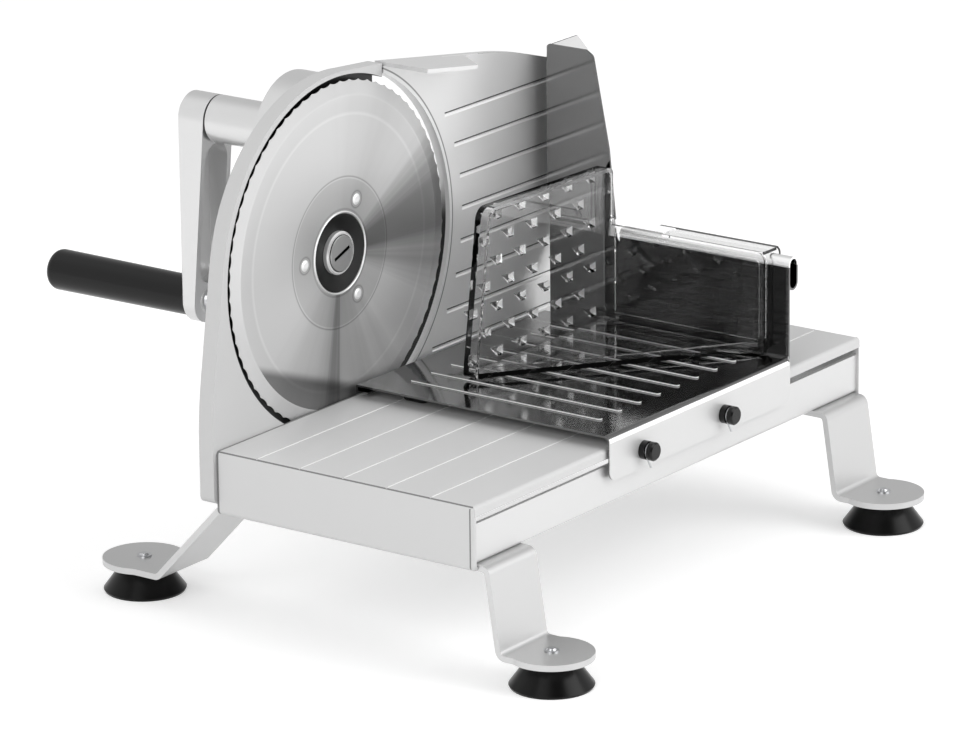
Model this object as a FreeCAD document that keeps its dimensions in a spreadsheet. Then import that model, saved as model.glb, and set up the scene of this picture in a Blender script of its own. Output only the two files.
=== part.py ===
import FreeCAD, Part
import math
import os
import Sketcher

# Hand crank meat slicer: a household slicer on four suction feet.
# Millimetres. X runs along the food sled's travel (+X is away from the blade), -Y is the
# operator's side, +Z is up and Z = 0 is the table the feet stand on. Sizes and drawings count X
# from the blade axis and Y from the back plane of the blade; place() then moves every piece so
# that the finished part stands centred on its own origin.

SIZES = {
    # fits shared by several pieces
    "running_gap": 0.05, "free_gap": 0.3,
    # base plate: one bent sheet, open below, with two curled end walls
    "base_left": -99.3, "base_length": 330.3, "base_front": -152.8, "base_depth": 151.3,
    "base_top": 87.6, "base_height": 31.8, "base_sheet": 2.0, "base_curl": 3.0,
    "lip_drop": 5.1, "rear_foot_depth": 20.0, "groove_pitch": 25.575, "groove_rear": 23.4, "groove_width": 1.1,
    "groove_depth": 0.4,
    # guide rail under the front lip
    "rail_setback": 1.3, "rail_height": 19.8, "rail_sheet": 2.0, "rail_foot_depth": 22.0,
    # legs, feet and suction cups
    "leg_sheet": 3.0, "leg_width": 37.4, "leg_inset": 3.1, "front_bend": 5.9,
    "front_lean": 81.2, "rear_bend": 2.3, "rear_lean": 46.7, "foot_radius": 20.5,
    "foot_top": 17.0, "front_foot_reach": 28.0, "rear_foot_reach": 64.0,
    "cup_radius": 20.3, "cup_neck_radius": 12.6, "cup_neck_height": 2.4,
    "cup_hollow": 8.0, "cup_wall": 2.6, "foot_bolt_radius": 2.5, "foot_bolt_head": 3.6,
    "foot_bolt_depth": 5.0, "rivet_radius": 2.0, "rivet_head": 3.6, "rivet_rise": 1.4,
    "rivet_spread": 22.0,
    # blade and its hub
    "blade_rise": 74.4, "blade_radius": 85.0, "blade_sheet": 1.2, "bevel_width": 7.5,
    "edge_land": 0.15, "scallops": 72.0, "scallop_depth": 0.8, "blade_hole": 19.5,
    "carrier_radius": 33.0, "carrier_sheet": 2.0, "dish_depth": 1.6, "collar_radius": 10.8,
    "collar_proud": 2.0, "lock_head_radius": 9.0, "lock_head_proud": 0.6, "lock_slot": 1.8,
    "lock_slot_length": 12.5,
    "lock_slot_turn": 20.0, "lock_slot_depth": 1.2, "lock_thread": 4.0, "lock_length": 12.0,
    "blade_rivet_circle": 27.6, "blade_rivet_radius": 1.6, "blade_rivet_head": 2.8,
    "blade_rivet_rise": 0.5,
    # screws that hold the housing and the bracket to the rear flange
    "fixing_radius": 2.0, "fixing_head": 3.8, "fixing_rise": 2.4,
    "fixing_left": -88.0, "fixing_right": 22.0, "post_left": 70.0, "post_right": 190.0,
    "post_drop": 14.6, "post_radius": 4.5,
    # stop plate, its guide pins and the thickness knob
    "plate_front": -1.2, "plate_depth": 5.2, "plate_left": 37.0, "plate_length": 148.0,
    "plate_rise": 161.9, "plate_drop": 5.6, "plate_knee": 140.0, "plate_fall": 0.155,
    "plate_far_fall": 0.3, "plate_skin": 1.6, "plate_rim": 2.0, "cutout_gap": 4.8,
    "rib_first": 7.0, "rib_pitch": 16.8, "rib_width": 2.6, "rib_depth": 0.7, "rib_gap": 15.0,
    "rib_flank": 0.7,
    "lip_sheet": 2.0, "lip_reach": 26.8, "lip_corner": 77.0, "lip_end": 103.1,
    "bracket_front": 20.5, "bracket_sheet": 3.0, "pin_left": 108.0, "pin_low": 6.4,
    "pin_right": 172.0, "pin_high": 50.4, "pin_radius": 3.0, "pin_tail": 20.0,
    "knob_offset": 140.0, "knob_rise": 26.4, "knob_radius": 16.0, "knob_depth": 14.0,
    "knob_gap": 1.0, "knob_flute": 3.0, "screw_radius": 4.0, "spindle_nut_radius": 8.0,
    "sleeve_radius": 6.5, "retainer_width": 1.8,
    # food sled: table, apron, wall, tube, finger guard and flange in one stainless sheet
    "sled_left": 7.3, "sled_wall_face": 162.0, "sled_sheet": 1.0, "table_gap": 6.4,
    "table_back": -4.0, "apron_front": -155.0, "apron_drop": 22.5, "table_bend": 3.4,
    "hem_drop": 4.0, "hem_return": 7.0, "sled_rib_first": 27.8, "sled_rib_pitch": 16.44,
    "sled_rib_front": -134.5, "sled_rib_back": -24.1, "sled_rib_width": 3.0,
    "sled_rib_rise": 0.8, "tube_rise": 34.2, "tube_height": 17.0, "tube_width": 8.0,
    "tube_front": -154.6, "tube_back": -53.6, "guard_rise": 140.0, "guard_back": -9.7,
    "guard_front": -33.3, "guard_shoulder_y": -37.6, "guard_shoulder_drop": 2.6,
    "guard_knee_y": -47.0, "guard_knee_rise": 90.4, "guard_foot_y": -51.7,
    "guard_foot_rise": 45.5, "flange_width": 37.8, "flange_drop": 2.0, "flange_back": -6.7, "flange_corner": 8.7,
    "flange_bend": 5.0, "flange_rise": 18.0,
    # sled glides, studs and knobs
    "stud_left": 35.4, "stud_right": 104.3, "stud_radius": 1.7, "shoe_width": 16.0,
    "shoe_height": 10.0, "shoe_depth": 4.5, "knob_disc": 4.6, "knob_waist": 3.0, "disc_depth": 3.0,
    "waist_depth": 1.4,
    "skid_length": 28.0, "skid_width": 14.0, "skid_left": 30.0, "skid_right": 135.0,
    "skid_row": -32.0, "clip_wire": 0.8,
    # remnant holder: one clear moulding hooked over the sled's tube
    "holder_back": -43.5, "holder_skin": 2.5, "holder_rim": 5.0, "holder_wall": 2.0,
    "holder_gap": 1.8, "holder_height": 83.2, "holder_foot_left": 41.7,
    "holder_head_left": 54.0, "holder_right": 160.0, "wing_front": -142.7,
    "wing_sheet": 2.2, "hook_front": -142.9, "hook_back": -69.0, "hook_sheet": 1.6,
    "hook_gap": 0.4, "hook_drop": 26.0, "spike_base": 5.0, "spike_length": 6.0,
    "spike_first": 51.0, "spike_step": 9.95, "spike_margin": 6.8, "spike_drop": 11.6,
    # blade housing
    "housing_front": -1.5, "housing_depth": 8.5, "housing_wall": 2.5, "housing_rim": 5.0,
    "housing_offset": 1.5, "housing_lean": 9.1, "housing_side": 16.6, "housing_gap": 2.2,
    "housing_right": 35.5, "housing_peak": 2.2, "housing_side_round": 200.0,
    "housing_corner": 4.0, "backing_inset": 1.0, "blade_clearance": 2.8,
    # gear train: crank gear, idler and blade pinion, all on parallel axes
    "gear_module": 2.0, "pressure_angle": 25.0, "tooth_rise": 0.8, "tooth_root": 1.0,
    "backlash": 0.15, "gear_width": 8.0, "gear_start": 10.0, "crank_teeth": 25.0,
    "idler_teeth": 14.0, "pinion_teeth": 12.0, "idler_bearing": 59.16, "crank_bearing": 114.75,
    "gear_web": 3.0, "gear_rim": 4.0, "gear_hub": 10.0,
    "idler_pin_radius": 3.0, "spindle_radius": 6.0, "spindle_nose": 6.0, "spindle_tail_radius": 4.0,
    # gear case
    "case_wall": 2.0, "case_clearance": 1.9, "case_depth": 17.0, "case_ear": 5.5,
    "case_ear_depth": 6.0, "boss_rise": 3.0, "case_screw": 1.75, "case_screw_head": 3.4, "case_screw_rise": 2.2,
    "ear_upper_right": 30.0, "ear_upper_left": 215.0, "ear_lower_left": 232.0,
    "ear_lower_right": 325.0,
    # crank
    "tube_radius": 11.8, "tube_length": 45.0, "crank_shaft_radius": 6.0, "bush_wall": 2.0,
    "crank_radius": 93.2, "arm_radius": 11.8, "arm_back": 86.5, "arm_lean": 4.9,
    "arm_gap": 1.0, "arm_skin": 3.0, "arm_rim": 3.0, "arm_screw_head": 5.5,
    "arm_screw_rise": 2.6, "arm_screw_thread": 3.0, "axle_radius": 3.5, "axle_boss": 5.2,
    "axle_boss_rise": 1.5, "grip_length": 89.0, "grip_radius": 9.9, "grip_flare": 0.45,
    "grip_round": 4.0, "grip_gap": 0.5, "grip_cap": 6.0,
}


class Size(float):
    """A length that also carries the sheet expression it comes from."""

    def __new__(cls, value, text=None):
        size = float.__new__(cls, value)
        size.text = text if text else "%.9g" % value
        return size

    def __add__(self, other):
        return join(self, "+", other, float(self) + float(other))

    def __radd__(self, other):
        return join(other, "+", self, float(other) + float(self))

    def __sub__(self, other):
        return join(self, "-", other, float(self) - float(other))

    def __rsub__(self, other):
        return join(other, "-", self, float(other) - float(self))

    def __mul__(self, other):
        return join(self, "*", other, float(self) * float(other))

    def __rmul__(self, other):
        return join(other, "*", self, float(other) * float(self))

    def __truediv__(self, other):
        return join(self, "/", other, float(self) / float(other))

    def __neg__(self):
        return Size(-float(self), "(0 - %s)" % self.text)


def text_of(value):
    return value.text if isinstance(value, Size) else "%.9g" % value


def join(first, sign, second, value):
    return Size(value, "(%s %s %s)" % (text_of(first), sign, text_of(second)))


def cosine(angle):
    return Size(math.cos(math.radians(angle)), "cos(%s)" % text_of(angle))


def sine(angle):
    return Size(math.sin(math.radians(angle)), "sin(%s)" % text_of(angle))


def tangent(angle):
    return Size(math.tan(math.radians(angle)), "tan(%s)" % text_of(angle))


def root(value):
    return Size(math.sqrt(value), "sqrt(%s)" % text_of(value))


doc = FreeCAD.newDocument("meat_slicer")


class Sheet:
    """The spreadsheet of driving sizes, read back as Size values."""

    def __init__(self, values):
        sheet = doc.addObject("Spreadsheet::Sheet", "sizes")
        for row, (name, value) in enumerate(values.items(), 1):
            sheet.set("A%d" % row, name)
            sheet.set("B%d" % row, str(value))
            sheet.setAlias("B%d" % row, name)
        doc.recompute()
        for name in values:
            setattr(self, name, Size(float(sheet.get(name)), "sizes." + name))


s = Sheet(SIZES)
NODES = []
# the middle of the whole part: housing to base edge, front feet to the end of the grip
middle_x = (s.base_left + s.base_length - s.blade_radius - s.housing_side) / 2
middle_y = (s.base_front - s.front_foot_reach - s.foot_radius
            + s.arm_back + s.grip_gap + s.grip_length) / 2


def bind(thing, path, value):
    """Set one property from a size, keeping the link to the sheet."""
    thing.setExpression(path, text_of(value))


def node(thing, name):
    thing.Label = name
    NODES.append(thing)
    return thing


def place(thing, x=0, y=0, z=0):
    for axis, value in zip("xyz", (x - middle_x, y - middle_y, z)):
        bind(thing, "Placement.Base." + axis, value)
    return thing


def new_body(name, x=0, y=0, z=0):
    return place(node(doc.addObject("PartDesign::Body", name), name), x, y, z)


def fix(sketch, kind, *items):
    """Add one sized constraint, tied to the sheet."""
    number = sketch.addConstraint(Sketcher.Constraint(kind, *items[:-1], float(items[-1])))
    sketch.setExpression("Constraints[%d]" % number, text_of(items[-1]))


def fix_point(sketch, edge, end, x, y):
    fix(sketch, "DistanceX", -1, 1, edge, end, x)
    fix(sketch, "DistanceY", -1, 1, edge, end, y)


def ring(x, y, radius):
    """A full circle."""
    def draw(sketch):
        circle = sketch.addGeometry(Part.Circle(
            FreeCAD.Vector(x, y, 0), FreeCAD.Vector(0, 0, 1), float(radius)))
        fix_point(sketch, circle, 3, x, y)
        fix(sketch, "Radius", circle, radius)
    return draw


def link(x1, y1, radius1, x2, y2, radius2):
    """Two round ends joined by straight tangent sides."""
    def draw(sketch):
        first, second = FreeCAD.Vector(x1, y1, 0), FreeCAD.Vector(x2, y2, 0)
        run = second - first
        heading = math.atan2(run.y, run.x)
        spread = math.acos((radius1 - radius2) / run.Length)
        up = FreeCAD.Vector(0, 0, 1)

        def at(centre, radius, angle):
            return centre + FreeCAD.Vector(math.cos(angle), math.sin(angle), 0) * float(radius)

        def arc(centre, radius, start, stop):
            return sketch.addGeometry(Part.ArcOfCircle(
                Part.Circle(centre, up, float(radius)), start, stop))

        left = arc(first, radius1, heading + spread, heading - spread + 2 * math.pi)
        right = arc(second, radius2, heading - spread, heading + spread)
        lower = sketch.addGeometry(Part.LineSegment(
            at(first, radius1, heading - spread), at(second, radius2, heading - spread)))
        upper = sketch.addGeometry(Part.LineSegment(
            at(second, radius2, heading + spread), at(first, radius1, heading + spread)))
        for ends in ((left, 2, lower, 1), (lower, 2, right, 1),
                     (right, 2, upper, 1), (upper, 2, left, 1)):
            sketch.addConstraint(Sketcher.Constraint("Tangent", *ends))
        for curve, x, y, radius in ((left, x1, y1, radius1), (right, x2, y2, radius2)):
            fix_point(sketch, curve, 3, x, y)
            fix(sketch, "Radius", curve, radius)
    return draw


def outline(*corners):
    """A closed outline; a corner (x, y, r) is rounded with radius r."""
    def draw(sketch):
        count = len(corners)
        spots = [FreeCAD.Vector(c[0], c[1], 0) for c in corners]
        starts, ends = [], []
        for i, corner in enumerate(corners):
            back = (spots[i - 1] - spots[i]).normalize()
            ahead = (spots[(i + 1) % count] - spots[i]).normalize()
            if len(corner) < 3:
                starts.append(spots[i])
                ends.append(spots[i])
                continue
            reach = float(corner[2]) / math.tan(back.getAngle(ahead) / 2)
            ends.append(spots[i] + back * reach)
            starts.append(spots[i] + ahead * reach)
        lines = [sketch.addGeometry(Part.LineSegment(starts[i], ends[(i + 1) % count]))
                 for i in range(count)]
        for i, corner in enumerate(corners):
            before, after = lines[i - 1], lines[i]
            if len(corner) < 3:
                sketch.addConstraint(Sketcher.Constraint("Coincident", before, 2, after, 1))
                fix_point(sketch, after, 1, corner[0], corner[1])
                continue
            mark = sketch.addGeometry(Part.Point(spots[i]), True)
            fix_point(sketch, mark, 1, corner[0], corner[1])
            inward = (ends[i] + starts[i]) * 0.5 - spots[i]
            middle = spots[i] + inward.normalize() * (
                math.hypot(corner[2], (ends[i] - spots[i]).Length) - corner[2])
            arc = sketch.addGeometry(Part.Arc(ends[i], middle, starts[i]))
            turn = (ends[i] - spots[i]).cross(starts[i] - spots[i]).z
            first, last = (2, 1) if turn > 0 else (1, 2)
            sketch.addConstraint(Sketcher.Constraint("Tangent", before, 2, arc, first))
            sketch.addConstraint(Sketcher.Constraint("Tangent", arc, last, after, 1))
            sketch.addConstraint(Sketcher.Constraint("PointOnObject", mark, 1, before))
            sketch.addConstraint(Sketcher.Constraint("PointOnObject", mark, 1, after))
            fix(sketch, "Radius", arc, corner[2])
    return draw


def box(x1, y1, x2, y2):
    return outline((x1, y1), (x2, y1), (x2, y2), (x1, y2))


def sketch_on(body, name, role, offset, loops):
    sketch = body.newObject("Sketcher::SketchObject", name)
    plane = [p for p in body.Origin.OriginFeatures if p.Role == role + "_Plane"][0]
    sketch.AttachmentSupport = [(plane, "")]
    sketch.MapMode = "FlatFace"
    bind(sketch, "AttachmentOffset.Base.z", offset)
    for draw in loops:
        draw(sketch)
    return sketch


def slab(body, name, axis, low, high, *loops, cut=False):
    """Pad or pocket the loops between two positions on one axis."""
    role = {"X": "YZ", "Y": "XZ", "Z": "XY"}[axis]
    if axis == "Y":
        start = (low if cut else high) * -1
    else:
        start = high if cut else low
    sketch = sketch_on(body, name + "_sketch", role, start, loops)
    feature = body.newObject("PartDesign::Pocket" if cut else "PartDesign::Pad", name)
    feature.Profile = sketch
    bind(feature, "Length", high - low)
    sketch.Visibility = False
    return feature


def turned(body, name, axis, *loops, cut=False):
    """Turn loops drawn as (radius, height) about Z, or as (radius, Y) about Y."""
    role = {"Z": "XZ", "Y": "XY"}[axis]
    sketch = sketch_on(body, name + "_sketch", role, 0, loops)
    feature = body.newObject("PartDesign::Groove" if cut else "PartDesign::Revolution", name)
    feature.Profile = sketch
    feature.ReferenceAxis = (sketch, ["V_Axis"])
    feature.Angle = 360
    return feature


def edges_where(feature, test):
    doc.recompute()
    return ["Edge%d" % (i + 1) for i, edge in enumerate(feature.Shape.Edges)
            if test(edge.valueAt((edge.FirstParameter + edge.LastParameter) / 2), edge)]


def rounded(body, name, radius, test, kind="Fillet"):
    base = body.Tip
    names = edges_where(base, test)
    feature = body.newObject("PartDesign::" + kind, name)
    feature.Base = (base, names)
    bind(feature, "Size" if kind == "Chamfer" else "Radius", radius)
    return feature


def group(name, master, spots):
    """Several copies of one fastener as a single node."""
    copies = []
    for number, (x, y, z) in enumerate(spots, 1):
        copy = doc.addObject("App::Link", "%s_%d" % (name, number))
        copy.LinkedObject = master
        for axis, value in zip("xyz", (x - middle_x, y - middle_y, z)):
            bind(copy, "LinkPlacement.Base." + axis, value)
        copies.append(copy)
    compound = doc.addObject("Part::Compound", name)
    compound.Links = copies
    return node(compound, name)


def master_body(name):
    """A body that is copied into a group rather than used itself."""
    return doc.addObject("PartDesign::Body", name + "_master")

# ------------------------------------------------------------------ heights over the table
axis_z = s.base_top + s.blade_rise
blade_low = axis_z - s.blade_radius
base_bottom = s.base_top - s.base_height
seat = base_bottom + s.leg_sheet
fixing_height = (seat + blade_low) / 2
post_height = s.base_top - s.post_drop
plate_top = s.base_top + s.plate_rise
plate_bottom = s.base_top - s.plate_drop
rib_low = s.base_top + s.rib_first
pin_low = s.base_top + s.pin_low
pin_high = s.base_top + s.pin_high
knob_height = s.base_top + s.knob_rise
table_top = s.base_top + s.table_gap
apron_bottom = table_top - s.apron_drop
tube_low = table_top + s.tube_rise
tube_high = tube_low + s.tube_height
guard_top = table_top + s.guard_rise
guard_shoulder_z = guard_top - s.guard_shoulder_drop
guard_knee_z = table_top + s.guard_knee_rise
guard_foot_z = table_top + s.guard_foot_rise
flange_top = guard_top - s.flange_drop
flange_bottom = table_top + s.flange_rise
holder_low = table_top + s.holder_gap
holder_high = holder_low + s.holder_height
spike_top = holder_high - s.spike_margin
housing_radius = s.blade_radius + s.housing_rim
plate_cutout = s.blade_radius + s.cutout_gap
FIXINGS = [(s.fixing_left, fixing_height), (s.fixing_right, fixing_height)]
BRACKET_POSTS = [(s.post_left, post_height), (s.post_right, post_height)]


# ------------------------------------------------------------------ places used by many pieces
base_right = s.base_left + s.base_length
base_rear = s.base_front + s.base_depth
base_under = s.base_top - s.base_sheet
lip_bottom = s.base_top - s.lip_drop
rail_front = s.base_front + s.rail_setback
rail_top = seat + s.rail_height
left_leg = s.base_left + s.leg_inset + s.leg_width / 2
right_leg = base_right - s.leg_inset - s.leg_width / 2
foot_bottom = s.foot_top - s.leg_sheet
front_foot = s.base_front - s.front_foot_reach
rear_foot = base_rear + s.rear_foot_reach
FEET = [("front_left", left_leg, front_foot), ("front_right", right_leg, front_foot),
        ("rear_left", left_leg, rear_foot), ("rear_right", right_leg, rear_foot)]
front_rivet_row = rail_front + s.rail_foot_depth / 2
rear_rivet_row = base_rear - s.rear_foot_depth / 2


def base_plate():
    """Bent sheet base: ribbed top, curled end walls, front lip and stepped rear flange."""
    body = new_body("base_plate")
    left, right, sheet, curl = s.base_left, base_right, s.base_sheet, s.base_curl
    outer_bend, inner_bend = curl * 0.9, (curl - sheet) * 0.8
    slab(body, "shell", "Y", s.base_front, base_rear, outline(
        (left, s.base_top, sheet), (left, base_bottom, outer_bend), (left + curl, base_bottom),
        (left + curl, base_bottom + sheet), (left + sheet, base_bottom + sheet, inner_bend),
        (left + sheet, base_under), (right - sheet, base_under),
        (right - sheet, base_bottom + sheet, inner_bend), (right - curl, base_bottom + sheet),
        (right - curl, base_bottom), (right, base_bottom, outer_bend), (right, s.base_top, sheet)))
    rounded(body, "front_bend", sheet * 0.95, lambda p, e: abs(p.y - s.base_front) < 0.01
            and abs(p.z - s.base_top) < 0.01)
    slab(body, "front_lip", "X", left + sheet * 0.5, right - sheet * 0.5, outline(
        (s.base_front, s.base_top, sheet * 0.95), (s.base_front, lip_bottom),
        (s.base_front + sheet, lip_bottom), (s.base_front + sheet, s.base_top)))
    slab(body, "rear_flange", "X", left + sheet * 0.5, right - sheet * 0.5, outline(
        (base_rear, base_under + sheet * 0.5), (base_rear, seat, sheet),
        (base_rear - s.rear_foot_depth, seat),
        (base_rear - s.rear_foot_depth, seat + sheet), (base_rear - sheet, seat + sheet),
        (base_rear - sheet, base_under + sheet * 0.5)))
    grooves = slab(body, "groove", "Z", s.base_top - s.groove_depth, s.base_top,
                   box(left, base_rear - s.groove_rear - s.groove_width / 2,
                       right, base_rear - s.groove_rear + s.groove_width / 2), cut=True)
    lines = body.newObject("PartDesign::LinearPattern", "grooves")
    lines.Originals = [grooves]
    lines.Direction = (grooves.Profile[0], ["V_Axis"])
    lines.Reversed = True
    bind(lines, "Length", s.groove_pitch * 4)
    lines.Occurrences = 5
    body.Tip = lines
    slab(body, "rivet_holes", "Z", base_bottom, seat + sheet * 2, *[
        ring(x + side * s.rivet_spread / 2, rear_rivet_row, s.rivet_radius)
        for x in (left_leg, right_leg) for side in (-1, 1)], cut=True)
    slab(body, "fixing_holes", "Y", base_rear - sheet * 2, base_rear, *[
        ring(x, z, s.fixing_radius) for x, z in FIXINGS + BRACKET_POSTS], cut=True)


def guide_rail():
    """Angle-section rail between the end walls, under the front lip."""
    body = new_body("guide_rail")
    sheet = s.rail_sheet
    slab(body, "angle", "X", s.base_left + s.base_sheet, base_right - s.base_sheet, outline(
        (rail_front, rail_top), (rail_front, seat, sheet), (rail_front + s.rail_foot_depth, seat),
        (rail_front + s.rail_foot_depth, seat + sheet), (rail_front + sheet, seat + sheet),
        (rail_front + sheet, rail_top)))
    slab(body, "rivet_holes", "Z", seat, seat + sheet * 2, *[
        ring(x + side * s.rivet_spread / 2, front_rivet_row, s.rivet_radius)
        for x in (left_leg, right_leg) for side in (-1, 1)], cut=True)


def leg(name, x, foot_y, bend_y, lean, flange_y, rivet_y):
    """One bent strip: flange under the base, slanting shin, round foot plate."""
    side = 1 if foot_y > 0 else -1
    sheet = s.leg_sheet
    shift = sheet * tangent(lean / 2) * side
    ankle = bend_y + (seat - s.foot_top) / tangent(lean) * side
    body = new_body(name)
    slab(body, "strip", "X", x - s.leg_width / 2, x + s.leg_width / 2, outline(
        (flange_y, seat), (bend_y, seat, sheet * 1.6), (ankle, s.foot_top, sheet * 0.8),
        (foot_y, s.foot_top), (foot_y, foot_bottom), (ankle - shift, foot_bottom, sheet * 1.8),
        (bend_y - shift, base_bottom, sheet * 0.6), (flange_y, base_bottom)))
    slab(body, "foot_plate", "Z", foot_bottom, s.foot_top, ring(x, foot_y, s.foot_radius))
    slab(body, "bolt_hole", "Z", foot_bottom - sheet, s.foot_top + sheet,
         ring(x, foot_y, s.foot_bolt_radius), cut=True)
    slab(body, "rivet_holes", "Z", base_bottom, seat + sheet, *[
        ring(x + hand * s.rivet_spread / 2, rivet_y, s.rivet_radius) for hand in (-1, 1)],
        cut=True)


def legs():
    for name, x, y in FEET:
        if y < 0:
            leg("leg_" + name, x, y, s.base_front - s.front_bend, s.front_lean,
                rail_front + s.rail_foot_depth, front_rivet_row)
        else:
            leg("leg_" + name, x, y, base_rear + s.rear_bend, s.rear_lean,
                base_rear - s.rear_foot_depth, rear_rivet_row)


def suction_cups():
    """Rubber suction feet: grooved neck, flared skirt, domed hollow underneath."""
    neck, rim, top = s.cup_neck_radius, s.cup_radius, foot_bottom
    for name, x, y in FEET:
        body = new_body("suction_cup_" + name, x, y, 0)
        turned(body, "skirt", "Z", outline(
            (s.foot_bolt_radius, top), (neck - 1.2, top), (neck, top - 0.8),
            (neck, top - s.cup_neck_height), (neck + 0.5, top - s.cup_neck_height - 0.5),
            (rim, 1.2), (rim - 0.6, 0), (rim - s.cup_wall, 0),
            (neck * 0.5, s.cup_hollow), (0, s.cup_hollow),
            (0, top - s.foot_bolt_depth), (s.foot_bolt_radius, top - s.foot_bolt_depth)))


def foot_bolts():
    """Riveted stud through each foot plate, moulded into the cup's neck."""
    master = master_body("foot_bolts")
    turned(master, "stud", "Z", outline(
        (0, -s.leg_sheet - s.foot_bolt_depth), (s.foot_bolt_radius, -s.leg_sheet
                                                - s.foot_bolt_depth),
        (s.foot_bolt_radius, 0), (s.foot_bolt_head, 0), (s.foot_bolt_head, 0.7),
        (s.foot_bolt_radius, 0.7), (s.foot_bolt_radius - 0.6, 1.6), (0, 1.6)))
    group("foot_bolts", master, [(x, y, s.foot_top) for _, x, y in FEET])


def leg_rivets():
    """Two rivets hold every leg under the base."""
    master = master_body("leg_rivets")
    grip = s.leg_sheet + s.base_sheet
    head, rise, shank = s.rivet_head, s.rivet_rise, s.rivet_radius
    turned(master, "rivet", "Z", outline(
        (0, -rise), (shank, -rise), (head, 0), (shank, 0), (shank, grip),
        (head, grip), (shank, grip + rise), (0, grip + rise)))
    group("leg_rivets", master, [
        (x + side * s.rivet_spread / 2, front_rivet_row if y < 0 else rear_rivet_row, base_bottom)
        for _, x, y in FEET for side in (-1, 1)])


# ------------------------------------------------------------------ gear train positions
mesh_low = s.gear_module * (s.idler_teeth + s.pinion_teeth) / 2
mesh_high = s.gear_module * (s.crank_teeth + s.idler_teeth) / 2
idler_x = mesh_low * cosine(s.idler_bearing)
idler_rise = mesh_low * sine(s.idler_bearing)
crank_x = idler_x + mesh_high * cosine(s.crank_bearing)
crank_rise = idler_rise + mesh_high * sine(s.crank_bearing)
crank_z = axis_z + crank_rise
idler_z = axis_z + idler_rise
housing_rear = s.housing_front + s.housing_depth
recess_floor = housing_rear - s.housing_wall
case_rear = housing_rear + s.case_depth
gear_end = s.gear_start + s.gear_width
blade_front = -s.blade_sheet
blade_recess = s.blade_radius + s.blade_clearance
bush_radius = s.crank_shaft_radius + s.bush_wall
hub_bush_radius = s.spindle_radius + s.bush_wall


def pitch_radius(teeth):
    return s.gear_module * teeth / 2


def case_radius(teeth):
    return pitch_radius(teeth) + s.gear_module * s.tooth_rise + s.case_clearance


GEAR_PLACES = [(crank_x, crank_rise, s.crank_teeth), (idler_x, idler_rise, s.idler_teeth),
               (Size(0), Size(0), s.pinion_teeth)]


def case_ears():
    """Screw ears round the gears' rooms: the gear each belongs to, and its place."""
    ears = []
    for gear_place, bearing in ((GEAR_PLACES[0], s.ear_upper_right),
                                (GEAR_PLACES[0], s.ear_upper_left),
                                (GEAR_PLACES[2], s.ear_lower_left),
                                (GEAR_PLACES[2], s.ear_lower_right)):
        x, z, teeth = gear_place
        reach = case_radius(teeth) + s.case_wall + s.case_ear * 0.7
        ears.append((gear_place, x + reach * cosine(bearing), z + reach * sine(bearing)))
    return ears


CASE_EARS = case_ears()
CASE_SCREWS = [(x, z) for _, x, z in CASE_EARS]


def case_outlines(margin):
    """The gear case in section: links from gear to gear, a given margin outside the room."""
    loops = []
    for (x1, z1, teeth1), (x2, z2, teeth2) in zip(GEAR_PLACES, GEAR_PLACES[1:]):
        loops.append(link(x1, z1, case_radius(teeth1) + margin,
                          x2, z2, case_radius(teeth2) + margin))
    return loops


def blade_housing():
    """Deep panel round the blade: rounded shoulder, leaning side, recess and back wall."""
    body = new_body("blade_housing", 0, 0, axis_z)
    front, rear, radius = s.housing_front, housing_rear, housing_radius
    centre = -s.housing_offset
    left, right = -s.blade_radius - s.housing_side, s.housing_right
    bottom = seat + s.housing_gap - axis_z
    touch_x = centre - radius * cosine(s.housing_lean)
    touch_z = radius * sine(s.housing_lean)
    knee_z = touch_z - (touch_x - left) / tangent(s.housing_lean)
    slab(body, "shoulder", "Y", front, rear, ring(centre, 0, radius))
    slab(body, "side", "Y", front, rear, outline(
        (touch_x, touch_z), (left, knee_z, s.housing_side_round),
        (left, bottom, s.housing_corner), (right, bottom), (right, 0), (centre, 0)))
    slab(body, "peak", "Y", front, rear, outline(
        (centre + radius * 0.05, radius * 0.9985), (right, s.blade_radius + s.housing_peak),
        (right, 0), (centre, 0)))
    slab(body, "right_trim", "Y", front - 1, rear + 1,
         box(right, bottom - 5, s.blade_radius * 1.2, radius * 1.2), cut=True)
    slab(body, "backing", "Y", recess_floor, rear, ring(0, 0, s.blade_radius - s.backing_inset))
    slab(body, "recess", "Y", front - 1, recess_floor, ring(0, 0, blade_recess), cut=True)
    slab(body, "bearing_holes", "Y", recess_floor - 1, rear + 1,
         ring(0, 0, hub_bush_radius), ring(idler_x, idler_rise, s.idler_pin_radius),
         ring(crank_x, crank_rise, s.crank_shaft_radius + s.free_gap),
         *[ring(x, z, s.case_screw) for x, z in CASE_SCREWS], cut=True)
    slab(body, "fixing_holes", "Y", front - 1, rear + 1,
         *[ring(x, z - axis_z, s.fixing_radius) for x, z in FIXINGS], cut=True)


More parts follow.
